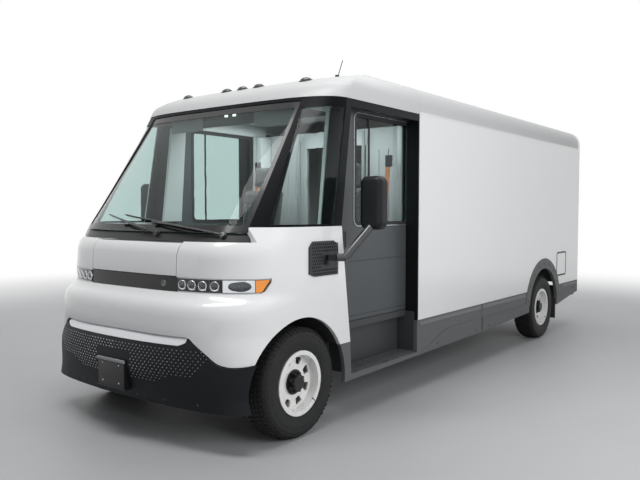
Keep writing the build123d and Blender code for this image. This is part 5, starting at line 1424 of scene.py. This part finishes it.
# ---------------------------------------------------------------- load space
# A pale grey steel bulkhead with pressed ribs, plywood-faced floor, folded aluminium roof bows and
# wall posts, and two rows of lashing rail.
bulkhead_paint = finish_of("bulkhead_pale_grey", (0.46, 0.47, 0.48), 0.48, (300, 0.06), (3, 0.06), 0.06)
cargo_deck = finish_of("cargo_deck_grey", (0.13, 0.13, 0.125), 0.6, (90, 0.2), (2.2, 0.18), 0.1, (1, 0.15, 1))
bare_alloy = finish_of("bare_alloy_bows", (0.55, 0.56, 0.57), 0.4, (60, 0.03), (4, 0.08), 0.08,
                       (6, 0.4, 6), metallic=0.85)
refinished("bulkhead", bulkhead_paint, crease=25)
refinished("cargo_floor", cargo_deck, crease=25)
WALL_X, RAIL_HEIGHTS = 0.985, (1.15, 1.65)
bows = bmesh.new()
for k in range(7):
    y = behind(2.75 + 0.49 * k)
    foot = 0.905 if abs(y - REAR_AXLE) < 0.52 else 0.692
    for sign in (1, -1):
        x0, x1 = sorted((sign * WALL_X, sign * 1.0148))
        bar_stock(bows, (x0, y - 0.02, foot), (x1, y + 0.02, 2.36), 0, 0.002)
    arch = []
    for step in range(15):
        x = -WALL_X + 2 * WALL_X * step / 14
        at, facing = on_roof(x, y)
        arch.append((x, y, at.z - 0.062 if abs(x) < 0.9 else at.z - 0.075))
    rod(bows, arch, 0.016, 6)
for sign in (1, -1):
    for z in RAIL_HEIGHTS:
        set_bar(bows, (0.972, WALL_X), (2.70, 5.80), (z, z + 0.06), 1, 0.002, sign)
closed_piece("roof_bows_and_posts", bows, [bare_alloy, zinc], "van_body", 25)
wall_y = behind(1.76)
rib_places = [(Vector((x, wall_y - 0.002, 1.45)), Vector((0, -1, 0)), RIGHT)
              for x in (-0.78, -0.68, -0.58, -0.48, 0.50, 0.60, 0.70, 0.78)]
repeated("bulkhead_ribs", block_tree, rib_places, bulkhead_paint, "van_body",
         0.03, 1.3, 0.012)
rail_holes = [(Vector((sign * 0.9715, behind(2.76 + 0.06 * k), z + 0.03)), Vector((-sign, 0, 0)), BACK)
              for sign in (1, -1) for z in RAIL_HEIGHTS for k in range(50)]
repeated("lashing_rail_holes", stud_tree, rail_holes, hub_black, "van_body",
         0.012, 0.012, 0.0015, 0.9, 10)
deck_seams = [(Vector((0, behind(1.9 + 0.61 * k), FLOOR_TOP + 0.0005)), UP, RIGHT) for k in range(7)]
repeated("deck_seams", block_tree, deck_seams, zinc, "van_body", 1.96, 0.03, 0.0018)

# ---------------------------------------------------------------- rear doors, lamps and step
# Two white sandwich doors with a black seal between them, a slam handle over a black recess, lock rods
# in guides and bolted hinges; red, amber and clear lamps between black bezels; a step with a nubbed
# rubber pad and four small lamps in its face.
lamp_red = finish_of("tail_lamp_red", (0.42, 0.012, 0.012), 0.16, (110, 0.25), (22, 0.12), 0.05,
                     coat_weight=0.9)
lamp_pale = finish_of("reverse_lamp_clear", (0.72, 0.72, 0.71), 0.16, (110, 0.25), (22, 0.06), 0.05,
                      coat_weight=0.9)
step_rubber = finish_of("rear_step_rubber", (0.03, 0.03, 0.031), 0.72, (260, 0.25), (9, 0.2))
refinished("tail_lamps", lamp_red, crease=30)
lamp_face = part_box("tail_lamps")[1][1]
rear = bmesh.new()
for sign in (1, -1):
    x0, x1 = sorted((sign * 0.985, sign * 1.045))
    for low, middle_index in ((0.82, 1), (1.12, 3)):
        for bottom in (low - 0.006, low + 0.24):
            bar_stock(rear, (x0 - 0.003, lamp_face - 0.004, bottom),
                      (x1 + 0.003, lamp_face + 0.002, bottom + 0.006), 2, 0.001)
        for bottom, top, index in ((0.085, 0.150, middle_index), (0.160, 0.232, 0), (0.008, 0.075, 0)):
            bar_stock(rear, (x0 + 0.006, lamp_face - 0.001, low + bottom),
                      (x1 - 0.006, lamp_face + 0.004, low + top), index, 0.003)
closed_piece("tail_lamp_lenses", rear, [lamp_red, lamp_pale, hub_black, amber], "van_body", 25)
RIVETS, RIVET_MARGIN = 24, 0.06
for side, sign in SIDES:
    body = side + "_rear_door"
    leaf_low, leaf_high = [Vector(corner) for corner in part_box("rear_door_" + side)]
    skin_y = side_high.y + 0.08
    gear = bmesh.new()
    def on_leaf(across, off, up, index=0, ease=0.0):
        """A bar on the outer face of the rear door, from one distance off its skin to another."""
        bar_stock(gear, (across[0], skin_y + off[0], up[0]), (across[1], skin_y + off[1], up[1]), index, ease)

    near, far = (0.006, 0.945) if sign > 0 else (-0.945, -0.006)
    for z in (leaf_low.z + 0.006, leaf_high.z - 0.018):
        on_leaf((near + 0.01, far - 0.01), (-0.001, 0.003), (z, z + 0.012), 0, 0.001)
    edge_seal = (near, near + 0.012) if sign > 0 else (far - 0.012, far)
    on_leaf(edge_seal, (-0.002, 0.004), (leaf_low.z + 0.01, leaf_high.z - 0.01), 0, 0.0015)
    lock_x = sign * 0.12
    lock_rod = [(lock_x, skin_y + 0.010, leaf_low.z + 0.02), (lock_x, skin_y + 0.010, leaf_high.z - 0.02)]
    rod(gear, lock_rod, 0.0085, 10, 1)
    for z in (leaf_low.z + 0.10, 1.15, 1.75, leaf_high.z - 0.10):
        on_leaf((lock_x - 0.022, lock_x + 0.022), (-0.001, 0.021), (z - 0.018, z + 0.018), 1, 0.004)
    if sign > 0:
        on_leaf((lock_x - 0.045, lock_x + 0.20), (-0.001, 0.006), (1.36, 1.46), 2, 0.006)
        on_leaf((lock_x - 0.012, lock_x + 0.17), (0.004, 0.028), (1.395, 1.425), 1, 0.008)
    else:
        on_leaf((lock_x - 0.20, lock_x - 0.07), (-0.001, 0.004), (0.98, 1.06), 2, 0.006)
    closed_piece(body + "_gear", gear, [glazing_rubber, bright_trim, hub_black], body, 25)
    door_rivets = [(Vector((sign * 0.915, skin_y, z)), BACK, RIGHT)
                   for z in spaced(leaf_low.z, leaf_high.z, RIVET_MARGIN, RIVETS)]
    repeated(body + "_rivets", stud_tree, door_rivets, white_gloss, body,
             0.005, 0.005, 0.004, 0.5, 10)
    hinge_bolts = [(Vector((sign * (0.918 + 0.03 * k), skin_y + 0.008, low + 0.06)), BACK, RIGHT)
                   for low in (0.725, 1.43, 2.185) for k in (0, 1)]
    repeated(body + "_hinge_bolts", stud_tree, hinge_bolts, zinc, body,
             0.006, 0.006, 0.005, 0.8, 6)
# The rear face of the step is set in a little, so that its lamps stay inside the step's outline.
STEP_FACE_IN = 0.005
step_high = Vector(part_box("rear_bumper")[1])
for corner in bpy.data.objects["rear_bumper_finished"].data.vertices:
    if corner.co.y > step_high.y - 0.002:
        corner.co.y -= STEP_FACE_IN
step_high.y -= STEP_FACE_IN
step = bmesh.new()
bar_stock(step, (-0.985, step_high.y - 0.075, step_high.z - 0.001),
          (0.985, step_high.y - 0.004, step_high.z + 0.004), 0, 0.0015)
for sign in (1, -1):
    for x, half, low, high, out, index in ((0.55, 0.05, 0.43, 0.46, 0.004, 1),
                                           (0.93, 0.03, 0.425, 0.475, 0.003, 2)):
        bar_stock(step, (sign * x - half, step_high.y - 0.001, low),
                  (sign * x + half, step_high.y + out, high), index, 0.003)
closed_piece("rear_step_pad", step, [step_rubber, lamp_pale, lamp_red], "van_body", 25)
step_nubs = []
for k in range(83):
    for row in range(4):
        at = Vector((-0.97 + 0.0235 * k, step_high.y - 0.064 + 0.0165 * row, step_high.z + 0.0045))
        step_nubs.append((at, UP, Vector((1, 1 if (k + row) % 2 else -1, 0))))
repeated("rear_step_nubs", block_tree, step_nubs, step_rubber, "van_body",
         0.014, 0.004, 0.003)
